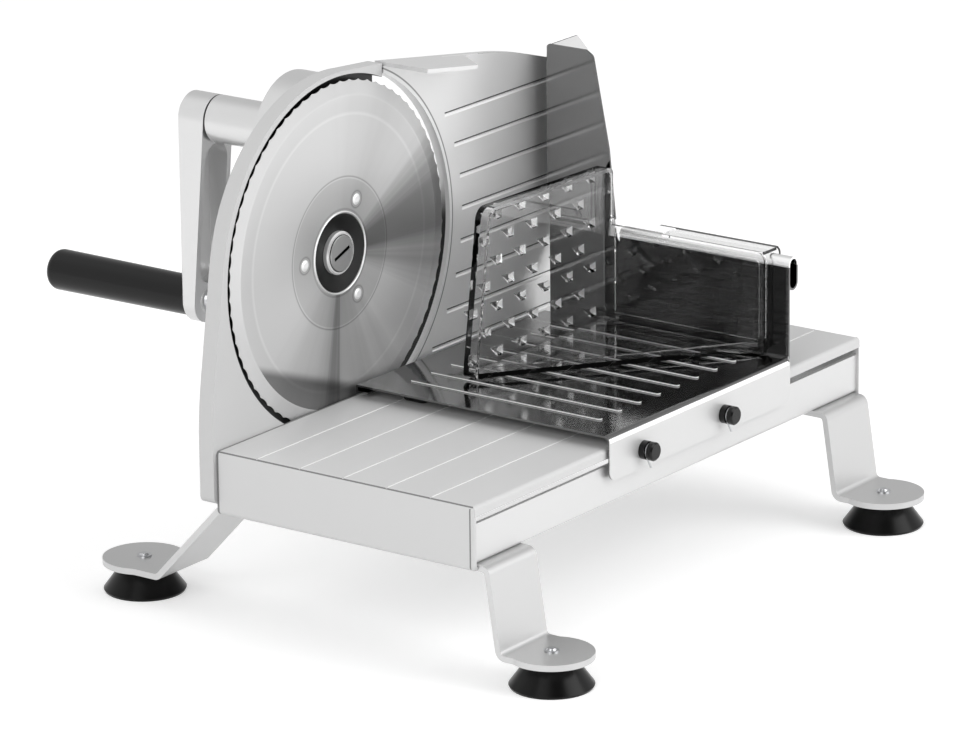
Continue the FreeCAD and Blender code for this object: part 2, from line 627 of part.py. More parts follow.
def gear_case():
    """Cast cover behind the housing: one room for three gears, four screw ears."""
    body = new_body("gear_case", 0, 0, axis_z)
    rear = case_rear
    upper, lower = case_outlines(s.case_wall)
    slab(body, "upper_part", "Y", housing_rear, rear, upper)
    slab(body, "lower_part", "Y", housing_rear, rear, lower)
    for number, (anchor, x, z) in enumerate(CASE_EARS, 1):
        slab(body, "ear_%d" % number, "Y", housing_rear, housing_rear + s.case_ear_depth,
             link(anchor[0], anchor[1], s.case_ear * 1.2, x, z, s.case_ear))
    slab(body, "spindle_boss", "Y", rear - 1, rear + s.boss_rise,
         ring(0, 0, s.spindle_tail_radius + s.case_wall * 2))
    upper_room, lower_room = case_outlines(0)
    floor = rear - s.case_wall
    slab(body, "upper_room", "Y", housing_rear - 1, floor, upper_room, cut=True)
    slab(body, "lower_room", "Y", housing_rear - 1, floor, lower_room, cut=True)
    slab(body, "shaft_hole", "Y", floor - 1, rear + 1, ring(crank_x, crank_rise, bush_radius),
         cut=True)
    slab(body, "tail_hole", "Y", floor - 1, rear + s.boss_rise - s.case_wall,
         ring(0, 0, s.spindle_tail_radius + s.running_gap), cut=True)
    slab(body, "pin_hole", "Y", floor - 1, rear + 1,
         ring(idler_x, idler_rise, s.idler_pin_radius), cut=True)
    slab(body, "screw_holes", "Y", housing_rear - 1, rear,
         *[ring(x, z, s.case_screw) for x, z in CASE_SCREWS], cut=True)


def hexagon_screw(body, shank, head, rise, end, face):
    """A plain screw along Y: shank from its end to the face, hexagon head behind the face."""
    slab(body, "shank", "Y", end, face, ring(0, 0, shank))
    slab(body, "head", "Y", face, face + rise, outline(
        *[(head * cosine(60 * corner), head * sine(60 * corner)) for corner in range(6)]))


def case_screws():
    """Four screws clamp the gear case to the housing."""
    master = master_body("case_screws")
    hexagon_screw(master, s.case_screw, s.case_screw_head, s.case_screw_rise,
                  -s.case_ear_depth - s.housing_wall, 0)
    group("case_screws", master, [(x, housing_rear + s.case_ear_depth, z + axis_z)
                                  for x, z in CASE_SCREWS])


def housing_screws():
    """Two screws through the rear flange hold the housing panel."""
    master = master_body("housing_screws")
    hexagon_screw(master, s.fixing_radius, s.fixing_head, s.fixing_rise,
                  -s.base_sheet, s.housing_depth)
    group("housing_screws", master, [(x, s.housing_front, z) for x, z in FIXINGS])


def crank_tube():
    """Long bearing tube behind the gear case that carries the crank shaft."""
    body = new_body("crank_tube", crank_x, case_rear, crank_z)
    turned(body, "tube", "Y", outline(
        (bush_radius, 0), (s.tube_radius, 0), (s.tube_radius, s.tube_length),
        (bush_radius, s.tube_length)))


def crank_bush():
    """Plain bearing pressed through the tube and the case's back wall."""
    body = new_body("crank_bush", crank_x, case_rear, crank_z)
    turned(body, "bush", "Y", box(s.crank_shaft_radius + s.running_gap, -s.case_wall,
                                  bush_radius, s.tube_length))


def blade_bush():
    """Plain bearing for the blade's spindle, pressed in the housing's back wall."""
    body = new_body("blade_bush", 0, 0, axis_z)
    turned(body, "bush", "Y", box(s.spindle_radius + s.running_gap, recess_floor,
                                  hub_bush_radius, housing_rear + s.case_wall / 2))


def idler_pin():
    """Fixed pin that the idler gear turns on."""
    body = new_body("idler_pin", idler_x, 0, idler_z)
    turned(body, "pin", "Y", outline(
        (0, recess_floor), (s.idler_pin_radius, recess_floor),
        (s.idler_pin_radius, case_rear), (s.idler_pin_radius + 1, case_rear),
        (s.idler_pin_radius + 1, case_rear + 1), (0, case_rear + 1)))


# ------------------------------------------------------------------ gears
def tooth_sides(teeth):
    """Half angle of one tooth at each of a few radii from root to tip."""
    pitch = float(pitch_radius(teeth))
    base = pitch * math.cos(math.radians(s.pressure_angle))
    foot, tip = pitch - s.gear_module * s.tooth_root, pitch + s.gear_module * s.tooth_rise

    def involute(radius):
        angle = math.acos(min(1.0, base / radius))
        return math.tan(angle) - angle

    half = math.pi / 2 / teeth - s.backlash / 4 / pitch + involute(pitch)
    start = max(base, foot)
    radii = [float(start + (tip - start) * step / 3) for step in range(4)]
    return float(foot), [(radius, half - involute(radius)) for radius in radii]


def gear_blank(teeth, phase):
    """A toothed disc with true involute flanks; one tooth points at the phase angle."""
    foot, side = tooth_sides(teeth)

    def at(radius, angle):
        return FreeCAD.Vector(radius * math.cos(angle), 0, radius * math.sin(angle))

    edges = []
    step = 2 * math.pi / teeth
    for number in range(int(teeth)):
        middle = math.radians(phase) + number * step
        rise = [at(radius, middle - half) for radius, half in side]
        fall = [at(radius, middle + half) for radius, half in reversed(side)]
        root_start = at(foot, middle - step / 2)
        low_left, low_right = at(foot, middle - side[0][1]), at(foot, middle + side[0][1])
        tip = at(side[-1][0], middle)
        root_end = at(foot, middle + step / 2)
        for side_points in ([root_start, low_left] + rise, fall + [low_right, root_end]):
            if fall[0] is side_points[0]:
                edges.append(Part.Arc(rise[-1], tip, fall[0]).toShape())
            edges += [Part.LineSegment(a, b).toShape()
                      for a, b in zip(side_points, side_points[1:]) if (b - a).Length > 0.001]
    return Part.Face(Part.Wire(edges)).extrude(FreeCAD.Vector(0, float(s.gear_width), 0))


def rod(radius, start, stop):
    """A plain cylinder along Y."""
    return Part.makeCylinder(float(radius), float(stop - start), FreeCAD.Vector(0, start, 0),
                             FreeCAD.Vector(0, 1, 0))


def gear(name, teeth, x, z, phase, bore, webbed, hub_start, hub_stop):
    """A gear with its hub; wide ones are thinned between rim and hub."""
    shape = gear_blank(teeth, phase)
    if webbed:
        rim = tooth_sides(teeth)[0] - s.gear_rim
        depth = (s.gear_width - s.gear_web) / 2
        for start, stop in ((0, depth), (s.gear_width - depth, s.gear_width)):
            shape = shape.cut(rod(rim, start, stop).cut(rod(s.gear_hub, start, stop)))
    shape = shape.fuse(rod(bore + 2.5, hub_start - s.gear_start, hub_stop - s.gear_start))
    shape = shape.cut(rod(bore, -s.gear_width, s.gear_width * 2)).removeSplitter()
    thing = node(doc.addObject("Part::Feature", name), name)
    thing.Shape = shape
    place(thing, x, s.gear_start, z)


def gears():
    """Crank gear, idler and blade pinion, turned so that their teeth are in mesh."""
    idler_phase = float(s.idler_bearing) + 180
    nearest = 360 / s.idler_teeth
    slip = (idler_phase - s.crank_bearing) % nearest
    crank_phase = float(s.crank_bearing) + 180 - slip * s.idler_teeth / s.crank_teeth
    gear("crank_gear", s.crank_teeth, crank_x, crank_z, crank_phase + 180 / s.crank_teeth,
         s.crank_shaft_radius, True, s.gear_start, gear_end)
    gear("idler_gear", s.idler_teeth, idler_x, idler_z, idler_phase,
         s.idler_pin_radius + s.running_gap, False, housing_rear + s.free_gap,
         case_rear - s.case_wall - s.free_gap)
    gear("blade_pinion", s.pinion_teeth, Size(0), axis_z,
         float(s.idler_bearing) + 180 / s.pinion_teeth, s.spindle_radius, False,
         s.gear_start, gear_end)


# ------------------------------------------------------------------ crank
arm_front = case_rear + s.tube_length + s.arm_gap
arm_floor = s.arm_back - s.arm_skin
boss_front = arm_front + s.crank_radius * tangent(s.arm_lean) - 0.7
grip_z = crank_z - s.crank_radius
grip_start = s.arm_back + s.grip_gap


def crank_shaft():
    """Turned steel shaft with a shoulder for the gear and a threaded end."""
    body = new_body("crank_shaft", crank_x, 0, crank_z)
    radius = s.crank_shaft_radius
    floor = case_rear - s.case_wall
    turned(body, "shaft", "Y", outline(
        (0, recess_floor + 0.5), (radius, recess_floor + 0.5), (radius, gear_end),
        (radius + 2, gear_end), (radius + 2, floor - s.free_gap),
        (radius, floor - s.free_gap), (radius, arm_floor),
        (s.arm_screw_thread, arm_floor), (s.arm_screw_thread, arm_floor - 9),
        (0, arm_floor - 9)))


def crank_washer():
    """Thin fibre washer between tube and crank arm."""
    body = new_body("crank_washer", crank_x, 0, crank_z)
    turned(body, "washer", "Y", box(s.crank_shaft_radius, arm_front - s.arm_gap + 0.05,
                                    s.tube_radius - 0.6, arm_front))


def crank_arm():
    """Tapering arm, channelled on its front, with a hub and a grip boss."""
    body = new_body("crank_arm", crank_x, 0, crank_z)
    radius, low = s.arm_radius, -s.crank_radius
    slab(body, "blank", "Y", arm_front, s.arm_back, link(0, 0, radius, 0, low, radius))
    slab(body, "slope", "X", -radius * 1.5, radius * 1.5, outline(
        (arm_front - 5, 0), (arm_front, 0),
        (arm_front + (radius * 1.5 + s.crank_radius) * tangent(s.arm_lean), low - radius * 1.5),
        (arm_front - 5, low - radius * 1.5)), cut=True)
    slab(body, "grip_boss", "Y", boss_front, arm_floor, ring(0, low, s.axle_boss + 1.5))
    inner = radius - s.arm_rim
    slab(body, "channel", "Y", arm_front - 1, arm_floor,
         link(0, -radius - inner - 0.6, inner, 0, low + s.axle_boss + inner + 3.5, inner), cut=True)
    slab(body, "shaft_hole", "Y", arm_front - 1, arm_floor, ring(0, 0, s.crank_shaft_radius),
         cut=True)
    slab(body, "small_holes", "Y", arm_front, s.arm_back + 1, ring(0, 0, s.arm_screw_thread),
         ring(0, low, s.axle_radius), cut=True)
    rounded(body, "back_edge", 1.2, lambda p, e: abs(p.y - s.arm_back) < 0.01
            and e.Length > 30, "Chamfer")


def arm_screw():
    """Screw that holds the arm on the shaft."""
    body = new_body("arm_screw", crank_x, s.arm_back, crank_z)
    shank = s.arm_skin + 8
    turned(body, "screw", "Y", outline(
        (0, -shank), (s.arm_screw_thread, -shank), (s.arm_screw_thread, 0),
        (s.arm_screw_head, 0), (s.arm_screw_head, s.arm_screw_rise - 1),
        (s.arm_screw_head - 1, s.arm_screw_rise),
        (0, s.arm_screw_rise)))
    slab(body, "slot", "Y", s.arm_screw_rise * 0.5, s.arm_screw_rise + 1,
         box(-s.arm_screw_head * 1.2, -0.6, s.arm_screw_head * 1.2, 0.6), cut=True)


def grip_axle():
    """Pin riveted in the arm; the grip turns freely on it."""
    body = new_body("grip_axle", crank_x, 0, grip_z)
    end = grip_start + s.grip_length - s.grip_cap - 1.5
    turned(body, "pin", "Y", outline(
        (0, boss_front - s.axle_boss_rise), (s.axle_boss - 0.6, boss_front - s.axle_boss_rise),
        (s.axle_boss, boss_front), (s.axle_radius, boss_front), (s.axle_radius, end),
        (0, end)))


def grip():
    """Round grip, slightly thicker at its free end, bored for the axle."""
    body = new_body("grip", crank_x, grip_start, grip_z)
    bore = s.axle_radius + s.running_gap
    end = s.grip_radius + s.grip_flare
    turned(body, "handle", "Y", outline(
        (bore, 0), (s.grip_radius, 0), (end, s.grip_length, s.grip_round),
        (0, s.grip_length), (0, s.grip_length - s.grip_cap), (bore, s.grip_length - s.grip_cap)))


# ------------------------------------------------------------------ blade
dish_floor = s.dish_depth - s.blade_sheet + 0.3


def blade():
    """Ground disc blade with a long bevel and a scalloped cutting edge."""
    body = new_body("blade", 0, 0, axis_z)
    radius = s.blade_radius
    turned(body, "disc", "Y", outline(
        (s.blade_hole, blade_front), (radius - s.bevel_width, blade_front),
        (radius, -s.edge_land), (radius, 0), (s.blade_hole, 0)))
    half = radius * math.pi / s.scallops * 0.98
    hollow = (half * half + s.scallop_depth * s.scallop_depth) / (s.scallop_depth * 2)
    scallop = slab(body, "scallop", "Y", blade_front - 1, 1,
                   ring(0, radius - s.scallop_depth + hollow, hollow), cut=True)
    around = body.newObject("PartDesign::PolarPattern", "scallops")
    around.Originals = [scallop]
    around.Axis = (scallop.Profile[0], ["N_Axis"])
    around.Angle = 360
    around.Occurrences = int(s.scallops)
    body.Tip = around
    slab(body, "rivet_holes", "Y", blade_front - 1, 1, *[
        ring(s.blade_rivet_circle * cosine(angle), s.blade_rivet_circle * sine(angle),
             s.blade_rivet_radius) for angle in (60, 180, 300)], cut=True)


def blade_carrier():
    """Steel disc riveted behind the blade, dished round the lock screw."""
    body = new_body("blade_carrier", 0, 0, axis_z)
    hole = s.spindle_nose
    lip = s.blade_hole - s.running_gap
    turned(body, "disc", "Y", outline(
        (hole, dish_floor), (s.collar_radius + 0.4, dish_floor), (lip - 0.6, blade_front + 0.2),
        (lip, blade_front + 0.2), (lip, 0), (s.carrier_radius, 0),
        (s.carrier_radius, s.carrier_sheet), (hole, s.carrier_sheet)))
    slab(body, "rivet_holes", "Y", -1, s.carrier_sheet + 1, *[
        ring(s.blade_rivet_circle * cosine(angle), s.blade_rivet_circle * sine(angle),
             s.blade_rivet_radius) for angle in (60, 180, 300)], cut=True)


def blade_rivets():
    """Three rivets join blade and carrier."""
    master = master_body("blade_rivets")
    head, rise, shank = s.blade_rivet_head, s.blade_rivet_rise, s.blade_rivet_radius
    back = s.carrier_sheet
    turned(master, "rivet", "Y", outline(
        (0, blade_front - rise), (shank, blade_front - rise), (head, blade_front),
        (shank, blade_front), (shank, back), (head, back), (shank, back + rise),
        (0, back + rise)))
    group("blade_rivets", master, [
        (s.blade_rivet_circle * cosine(angle), 0, axis_z + s.blade_rivet_circle * sine(angle))
        for angle in (60, 180, 300)])


def blade_spindle():
    """Spindle with a drive flange, pinion seat and tail journal."""
    body = new_body("blade_spindle", 0, 0, axis_z)
    flange_back = recess_floor - s.free_gap
    radius, tail = s.spindle_radius, s.spindle_tail_radius
    end = case_rear + s.boss_rise - s.case_wall - s.free_gap
    turned(body, "spindle", "Y", outline(
        (s.lock_thread, dish_floor), (s.spindle_nose, dish_floor),
        (s.spindle_nose, s.carrier_sheet), (radius + 3, s.carrier_sheet),
        (radius + 3, flange_back), (radius, flange_back), (radius, gear_end),
        (tail, gear_end), (tail, end), (0, end), (0, s.lock_length + 1),
        (s.lock_thread, s.lock_length + 1)))


def lock_collar():
    """Chamfered washer under the lock screw."""
    body = new_body("lock_collar", 0, 0, axis_z)
    front = blade_front - s.collar_proud + 1.2
    turned(body, "collar", "Y", outline(
        (s.lock_thread, front + 1.4), (s.lock_head_radius + 0.2, front + 1.4),
        (s.lock_head_radius + 0.2, front), (s.collar_radius - 0.7, front),
        (s.collar_radius, front + 0.7), (s.collar_radius, dish_floor),
        (s.lock_thread, dish_floor)))


def lock_screw():
    """Slotted screw that holds the blade; a coin turns it."""
    body = new_body("lock_screw", 0, 0, axis_z)
    seat_face = blade_front - s.collar_proud + 2.6
    front = blade_front - s.collar_proud + 1.2 - s.lock_head_proud
    turned(body, "screw", "Y", outline(
        (0, front), (s.lock_head_radius - 0.4, front), (s.lock_head_radius, front + 0.4),
        (s.lock_head_radius, seat_face),
        (s.lock_thread, seat_face), (s.lock_thread, s.lock_length), (0, s.lock_length)))
    slot = slab(body, "slot", "Y", front - 1, front + s.lock_slot_depth,
                box(-s.lock_slot_length / 2, -s.lock_slot / 2, s.lock_slot_length / 2,
                    s.lock_slot / 2), cut=True)
    bind(slot.Profile[0], "AttachmentOffset.Rotation.Angle", s.lock_slot_turn)


# ------------------------------------------------------------------ stop plate and its setting
plate_back = s.plate_front + s.plate_depth
plate_left = s.plate_left
plate_right = s.plate_left + s.plate_length
bracket_rear = s.bracket_front + s.bracket_sheet
PINS = [(s.pin_left, pin_low), (s.pin_right, pin_high)]
knob_x = s.knob_offset


def stop_plate():
    """Ribbed plate beside the blade, round cut-out, folded rim and a finger lip on top."""
    body = new_body("stop_plate")
    front, back, left, right = s.plate_front, plate_back, plate_left, plate_right
    top, low = plate_top, plate_bottom
    knee_z = top - (s.plate_knee - left) * s.plate_fall
    corner_z = knee_z - (right - s.plate_knee) * s.plate_far_fall
    skin, rim = s.plate_skin, s.plate_rim
    cutout = plate_cutout
    slab(body, "blank", "Y", front, back, outline(
        (left, low), (right, low, 5), (right, corner_z, 6), (s.plate_knee, knee_z, 250),
        (left, top)))
    slab(body, "hollow", "Y", front + skin, back + 1, outline(
        (left + rim, low + rim), (right - rim, low + rim, 3), (right - rim, corner_z - rim, 4),
        (s.plate_knee, knee_z - rim, 240), (left + rim, top - rim)), cut=True)
    slab(body, "cutout_rim", "Y", front, back, ring(0, axis_z, cutout + rim))
    slab(body, "left_trim", "Y", front - 1, back + 1,
         box(-cutout * 1.2, axis_z - cutout * 1.2, left, axis_z + cutout * 1.2), cut=True)
    slab(body, "low_trim", "Y", front - 1, back + 1,
         box(left - 1, low - cutout, right, low), cut=True)
    slab(body, "cutout", "Y", front - 1, back + 1, ring(0, axis_z, cutout), cut=True)
    reach, half, depth = s.blade_radius + s.rib_gap, s.rib_width / 2, s.rib_depth
    for number in range(8):
        z = rib_low + s.rib_pitch * number
        rise = z - axis_z
        slab(body, "rib_%d" % (number + 1), "X", root(reach * reach - rise * rise), right + 1,
             outline((front, z - half), (front + depth, z - half + s.rib_flank),
                     (front + depth, z + half - s.rib_flank), (front, z + half)), cut=True)
    lip = s.lip_sheet
    slab(body, "finger_lip", "Y", front - s.lip_reach, front + skin, outline(
        (left, top), (s.lip_end, top - (s.lip_end - left) * s.plate_fall),
        (s.lip_end, top - lip - (s.lip_end - left) * s.plate_fall), (left, top - lip)))
    slab(body, "lip_slant", "Z", low, top + 1, outline(
        (s.lip_corner, front - s.lip_reach - 1), (s.lip_end + 1, front - s.lip_reach - 1),
        (s.lip_end + 1, front), (s.lip_end, front)), cut=True)
    slab(body, "stud_boss", "Y", front + skin, back, *[
        ring(x, z, s.pin_radius + 2.5) for x, z in PINS], ring(knob_x, knob_height,
                                                              s.spindle_nut_radius))
    slab(body, "stud_holes", "Y", front + skin, back + 1, *[
        ring(x, z, s.pin_radius) for x, z in PINS],
        ring(knob_x, knob_height, s.screw_radius), cut=True)


def guide_pins():
    """Two steel pins in the stop plate that slide in the bracket's bushes."""
    master = master_body("guide_pins")
    turned(master, "pin", "Y", outline(
        (0, s.plate_front + s.plate_skin), (s.pin_radius, s.plate_front + s.plate_skin),
        (s.pin_radius, bracket_rear + s.pin_tail), (0, bracket_rear + s.pin_tail)))
    group("guide_pins", master, [(x, 0, z) for x, z in PINS])


def plate_bracket():
    """Pressed steel plate behind the stop plate, bolted to the base."""
    body = new_body("plate_bracket")
    slab(body, "sheet", "Y", s.bracket_front, bracket_rear, outline(
        (s.post_left - 10, post_height - 9, 4), (s.post_right + 10, post_height - 9, 4),
        (s.post_right + 10, pin_high + 12, 8), (s.pin_right - 16, pin_high + 12, 8),
        (s.pin_left - 22, knob_height + 8, 12), (s.post_left - 10, post_height + 20, 8)))
    slab(body, "bush_holes", "Y", s.bracket_front - 1, bracket_rear + 1, *[
        ring(x, z, s.pin_radius + s.bush_wall) for x, z in PINS],
        *[ring(x, z, s.fixing_radius) for x, z in BRACKET_POSTS],
        ring(knob_x, knob_height, s.sleeve_radius + s.running_gap), cut=True)


def guide_bushes():
    """Bronze bushes pressed in the bracket."""
    master = master_body("guide_bushes")
    turned(master, "bush", "Y", outline(
        (s.pin_radius + s.running_gap, s.bracket_front), (s.pin_radius + s.bush_wall,
                                                          s.bracket_front),
        (s.pin_radius + s.bush_wall, bracket_rear), (s.pin_radius + s.bush_wall + 1.5,
                                                    bracket_rear),
        (s.pin_radius + s.bush_wall + 1.5, bracket_rear + 4),
        (s.pin_radius + s.running_gap, bracket_rear + 4)))
    group("guide_bushes", master, [(x, 0, z) for x, z in PINS])


def bracket_spacers():
    """Tubes between base flange and bracket."""
    master = master_body("bracket_spacers")
    turned(master, "tube", "Y", box(s.fixing_radius, base_rear, s.post_radius, s.bracket_front))
    group("bracket_spacers", master, [(x, 0, z) for x, z in BRACKET_POSTS])


def bracket_screws():
    """Long screws through bracket and spacers into the base flange."""
    master = master_body("bracket_screws")
    hexagon_screw(master, s.fixing_radius, s.fixing_head, s.fixing_rise,
                  base_rear - s.base_sheet, bracket_rear)
    group("bracket_screws", master, [(x, 0, z) for x, z in BRACKET_POSTS])


def thickness_knob():
    """Fluted knob whose sleeve turns in the bracket and works as a nut on the spindle."""
    body = new_body("thickness_knob", knob_x, bracket_rear, knob_height)
    start, end = s.knob_gap, s.knob_gap + s.knob_depth
    bore = s.screw_radius + s.running_gap * 2
    turned(body, "knob", "Y", outline(
        (bore, -s.bracket_sheet - s.retainer_width - 0.3),
        (s.sleeve_radius, -s.bracket_sheet - s.retainer_width - 0.3), (s.sleeve_radius, start),
        (s.knob_radius, start), (s.knob_radius, end - 2),
        (s.knob_radius - 2, end), (bore, end)))
    flute = slab(body, "flute", "Y", start + 1, end + 1,
                 ring(0, s.knob_radius + s.knob_flute * 0.6, s.knob_flute), cut=True)
    around = body.newObject("PartDesign::PolarPattern", "flutes")
    around.Originals = [flute]
    around.Axis = (flute.Profile[0], ["N_Axis"])
    around.Angle = 360
    around.Occurrences = 8
    body.Tip = around


def knob_retainer():
    """Ring pressed on the knob's sleeve in front of the bracket."""
    body = new_body("knob_retainer", knob_x, s.bracket_front, knob_height)
    turned(body, "ring", "Y", box(s.sleeve_radius, -s.retainer_width - 0.3,
                                  s.sleeve_radius + 2.5, -0.3))


def thickness_spindle():
    """Steep-threaded spindle fixed in the stop plate; the knob draws it through."""
    body = new_body("thickness_spindle", knob_x, 0, knob_height)
    radius = s.screw_radius
    front = s.plate_front + s.plate_skin
    end = bracket_rear + s.knob_gap + s.knob_depth - 1
    turned(body, "spindle", "Y", outline(
        (0, front), (radius, front), (radius, end), (0, end)))


# ------------------------------------------------------------------ food sled
slot_height = (rail_top + lip_bottom) / 2
STUDS = [s.stud_left, s.stud_right]


def sled():
    """One folded stainless sheet: ribbed table, apron, side wall, rolled tube and guard."""
    body = new_body("sled")
    sheet, left, face = s.sled_sheet, s.sled_left, s.sled_wall_face
    top, back, front = table_top, s.table_back, s.apron_front
    hem = top - s.hem_drop
    slab(body, "table", "X", left, face + sheet, outline(
        (front, apron_bottom), (front, top, s.table_bend), (back, top, sheet * 0.9),
        (back, hem), (back - s.hem_return, hem), (back - s.hem_return, hem + sheet),
        (back - sheet, hem + sheet), (back - sheet, top - sheet),
        (front + sheet, top - sheet, s.table_bend - sheet), (front + sheet, apron_bottom)))
    rounded(body, "apron_corners", 5, lambda p, e: abs(p.z - apron_bottom) < 0.01
            and abs(p.y - front - sheet / 2) < 0.01)
    slab(body, "table_ribs", "Z", top - sheet / 2, top + s.sled_rib_rise, *[
        link(s.sled_rib_first + s.sled_rib_pitch * number, s.sled_rib_front,
             s.sled_rib_width / 2, s.sled_rib_first + s.sled_rib_pitch * number,
             s.sled_rib_back, s.sled_rib_width / 2) for number in range(8)])
    wall_front = s.tube_front
    rail_mid = (tube_low + tube_high) / 2
    slab(body, "wall", "X", face, face + sheet, outline(
        (wall_front, top - sheet, 1), (wall_front, rail_mid), (s.tube_back, rail_mid),
        (s.guard_foot_y, guard_foot_z), (s.guard_knee_y, guard_knee_z, 40),
        (s.guard_shoulder_y, guard_shoulder_z, 3), (s.guard_front, guard_top, 3),
        (s.guard_back, guard_top, 1.5), (s.guard_back + 0.7, guard_top - 10),
        (s.guard_back + 0.7, top - sheet)))
    outer, rear = s.flange_bend, s.flange_back
    slab(body, "flange", "Z", flange_bottom, flange_top, outline(
        (face, rear - outer * 2), (face, rear, outer), (face + s.flange_width, rear),
        (face + s.flange_width, rear - sheet), (face + sheet, rear - sheet, outer - sheet),
        (face + sheet, rear - outer * 2)))
    corner = s.flange_corner
    slab(body, "flange_corner", "Y", rear - sheet - 1, rear + 1, outline(
        (face + s.flange_width - corner, flange_top + 0.1),
        (face + s.flange_width + 0.1, flange_top - corner),
        (face + s.flange_width + 1, flange_top + 1)),
        outline((face + outer + 1, flange_bottom), (face + s.flange_width + 1,
                                                      flange_bottom - 1),
                (face + s.flange_width + 1, flange_bottom + 45)), cut=True)
    radius = s.tube_width / 2
    centre = face + radius
    slab(body, "tube", "Y", s.tube_front, s.tube_back,
         link(centre, tube_low + radius, radius, centre, tube_high - radius, radius))
    slab(body, "tube_bore", "Y", s.tube_front - 1, s.tube_back + 1,
         link(centre, tube_low + radius, radius - sheet, centre, tube_high - radius,
              radius - sheet), cut=True)
    slab(body, "stud_holes", "Y", front - 1, front + sheet + 1,
         *[ring(x, slot_height, s.stud_radius) for x in STUDS], cut=True)


def sled_glides():
    """Nylon skids under the table that ride on the base."""
    master = master_body("sled_glides")
    length, width = s.skid_length / 2, s.skid_width / 2
    slab(master, "skid", "Z", base_skid, table_top - s.sled_sheet, outline(
        (-length, -width, 3), (length, -width, 3), (length, width, 3), (-length, width, 3)))
    rounded(master, "skid_edge", 0.8, lambda p, e: abs(p.z - base_skid) < 0.01, "Chamfer")
    group("sled_glides", master, [(s.skid_left, s.skid_row, 0), (s.skid_right, s.skid_row, 0)])


base_skid = s.base_top + s.running_gap


def slot_shoes():
    """Nylon blocks that run behind the slot between rail and lip."""
    master = master_body("slot_shoes")
    start = rail_front + s.rail_sheet + s.free_gap
    slab(master, "shoe", "Y", start, start + s.shoe_depth, outline(
        (-s.shoe_width / 2, slot_height - s.shoe_height / 2, 1.5),
        (s.shoe_width / 2, slot_height - s.shoe_height / 2, 1.5),
        (s.shoe_width / 2, slot_height + s.shoe_height / 2 - 1.2, 1.5),
        (-s.shoe_width / 2, slot_height + s.shoe_height / 2 - 1.2, 1.5)))
    slab(master, "bore", "Y", start - 1, start + s.shoe_depth + 1,
         ring(0, slot_height, s.stud_radius), cut=True)
    group("slot_shoes", master, [(x, 0, 0) for x in STUDS])


knob_back = s.apron_front
waist_start = knob_back - s.disc_depth
waist_end = waist_start - s.waist_depth
knob_face = waist_end - s.disc_depth
stud_tip = waist_end - s.disc_depth / 2
stud_end = rail_front + s.rail_sheet + s.free_gap + s.shoe_depth


def glide_studs():
    """Steel studs through knob, apron, slot and shoe."""
    master = master_body("glide_studs")
    turned(master, "stud", "Y", outline(
        (0, stud_tip), (s.stud_radius, stud_tip), (s.stud_radius, stud_end),
        (s.stud_radius + 1.2, stud_end), (s.stud_radius + 1.2, stud_end + 1),
        (0, stud_end + 1)))
    group("glide_studs", master, [(x, 0, slot_height) for x in STUDS])


def glide_knobs():
    """Small turned knobs with a waist, one on each stud."""
    master = master_body("glide_knobs")
    disc, waist = s.knob_disc, s.knob_waist
    turned(master, "knob", "Y", outline(
        (s.stud_radius, knob_back), (disc, knob_back), (disc, waist_start),
        (waist, waist_start), (waist, waist_end), (disc, waist_end), (disc, knob_face + 0.8),
        (disc - 0.8, knob_face), (0, knob_face), (0, stud_tip), (s.stud_radius, stud_tip)))
    group("glide_knobs", master, [(x, 0, slot_height) for x in STUDS])


def knob_clips():
    """Spring wire clips in the knobs' waists, each with a short tail."""
    master = master_body("knob_clips")
    wire, waist = s.clip_wire, s.knob_waist
    middle = (waist_start + waist_end) / 2
    turned(master, "loop", "Y", box(waist, middle - wire / 2, waist + wire, middle + wire / 2))
    slab(master, "tail", "Y", middle - wire / 2, middle + wire / 2, outline(
        (-2.7, -waist), (-2.7 + wire, -waist - 0.1), (1.4, -8.8), (1.4 - wire, -8.8)))
    group("knob_clips", master, [(x, 0, slot_height) for x in STUDS])


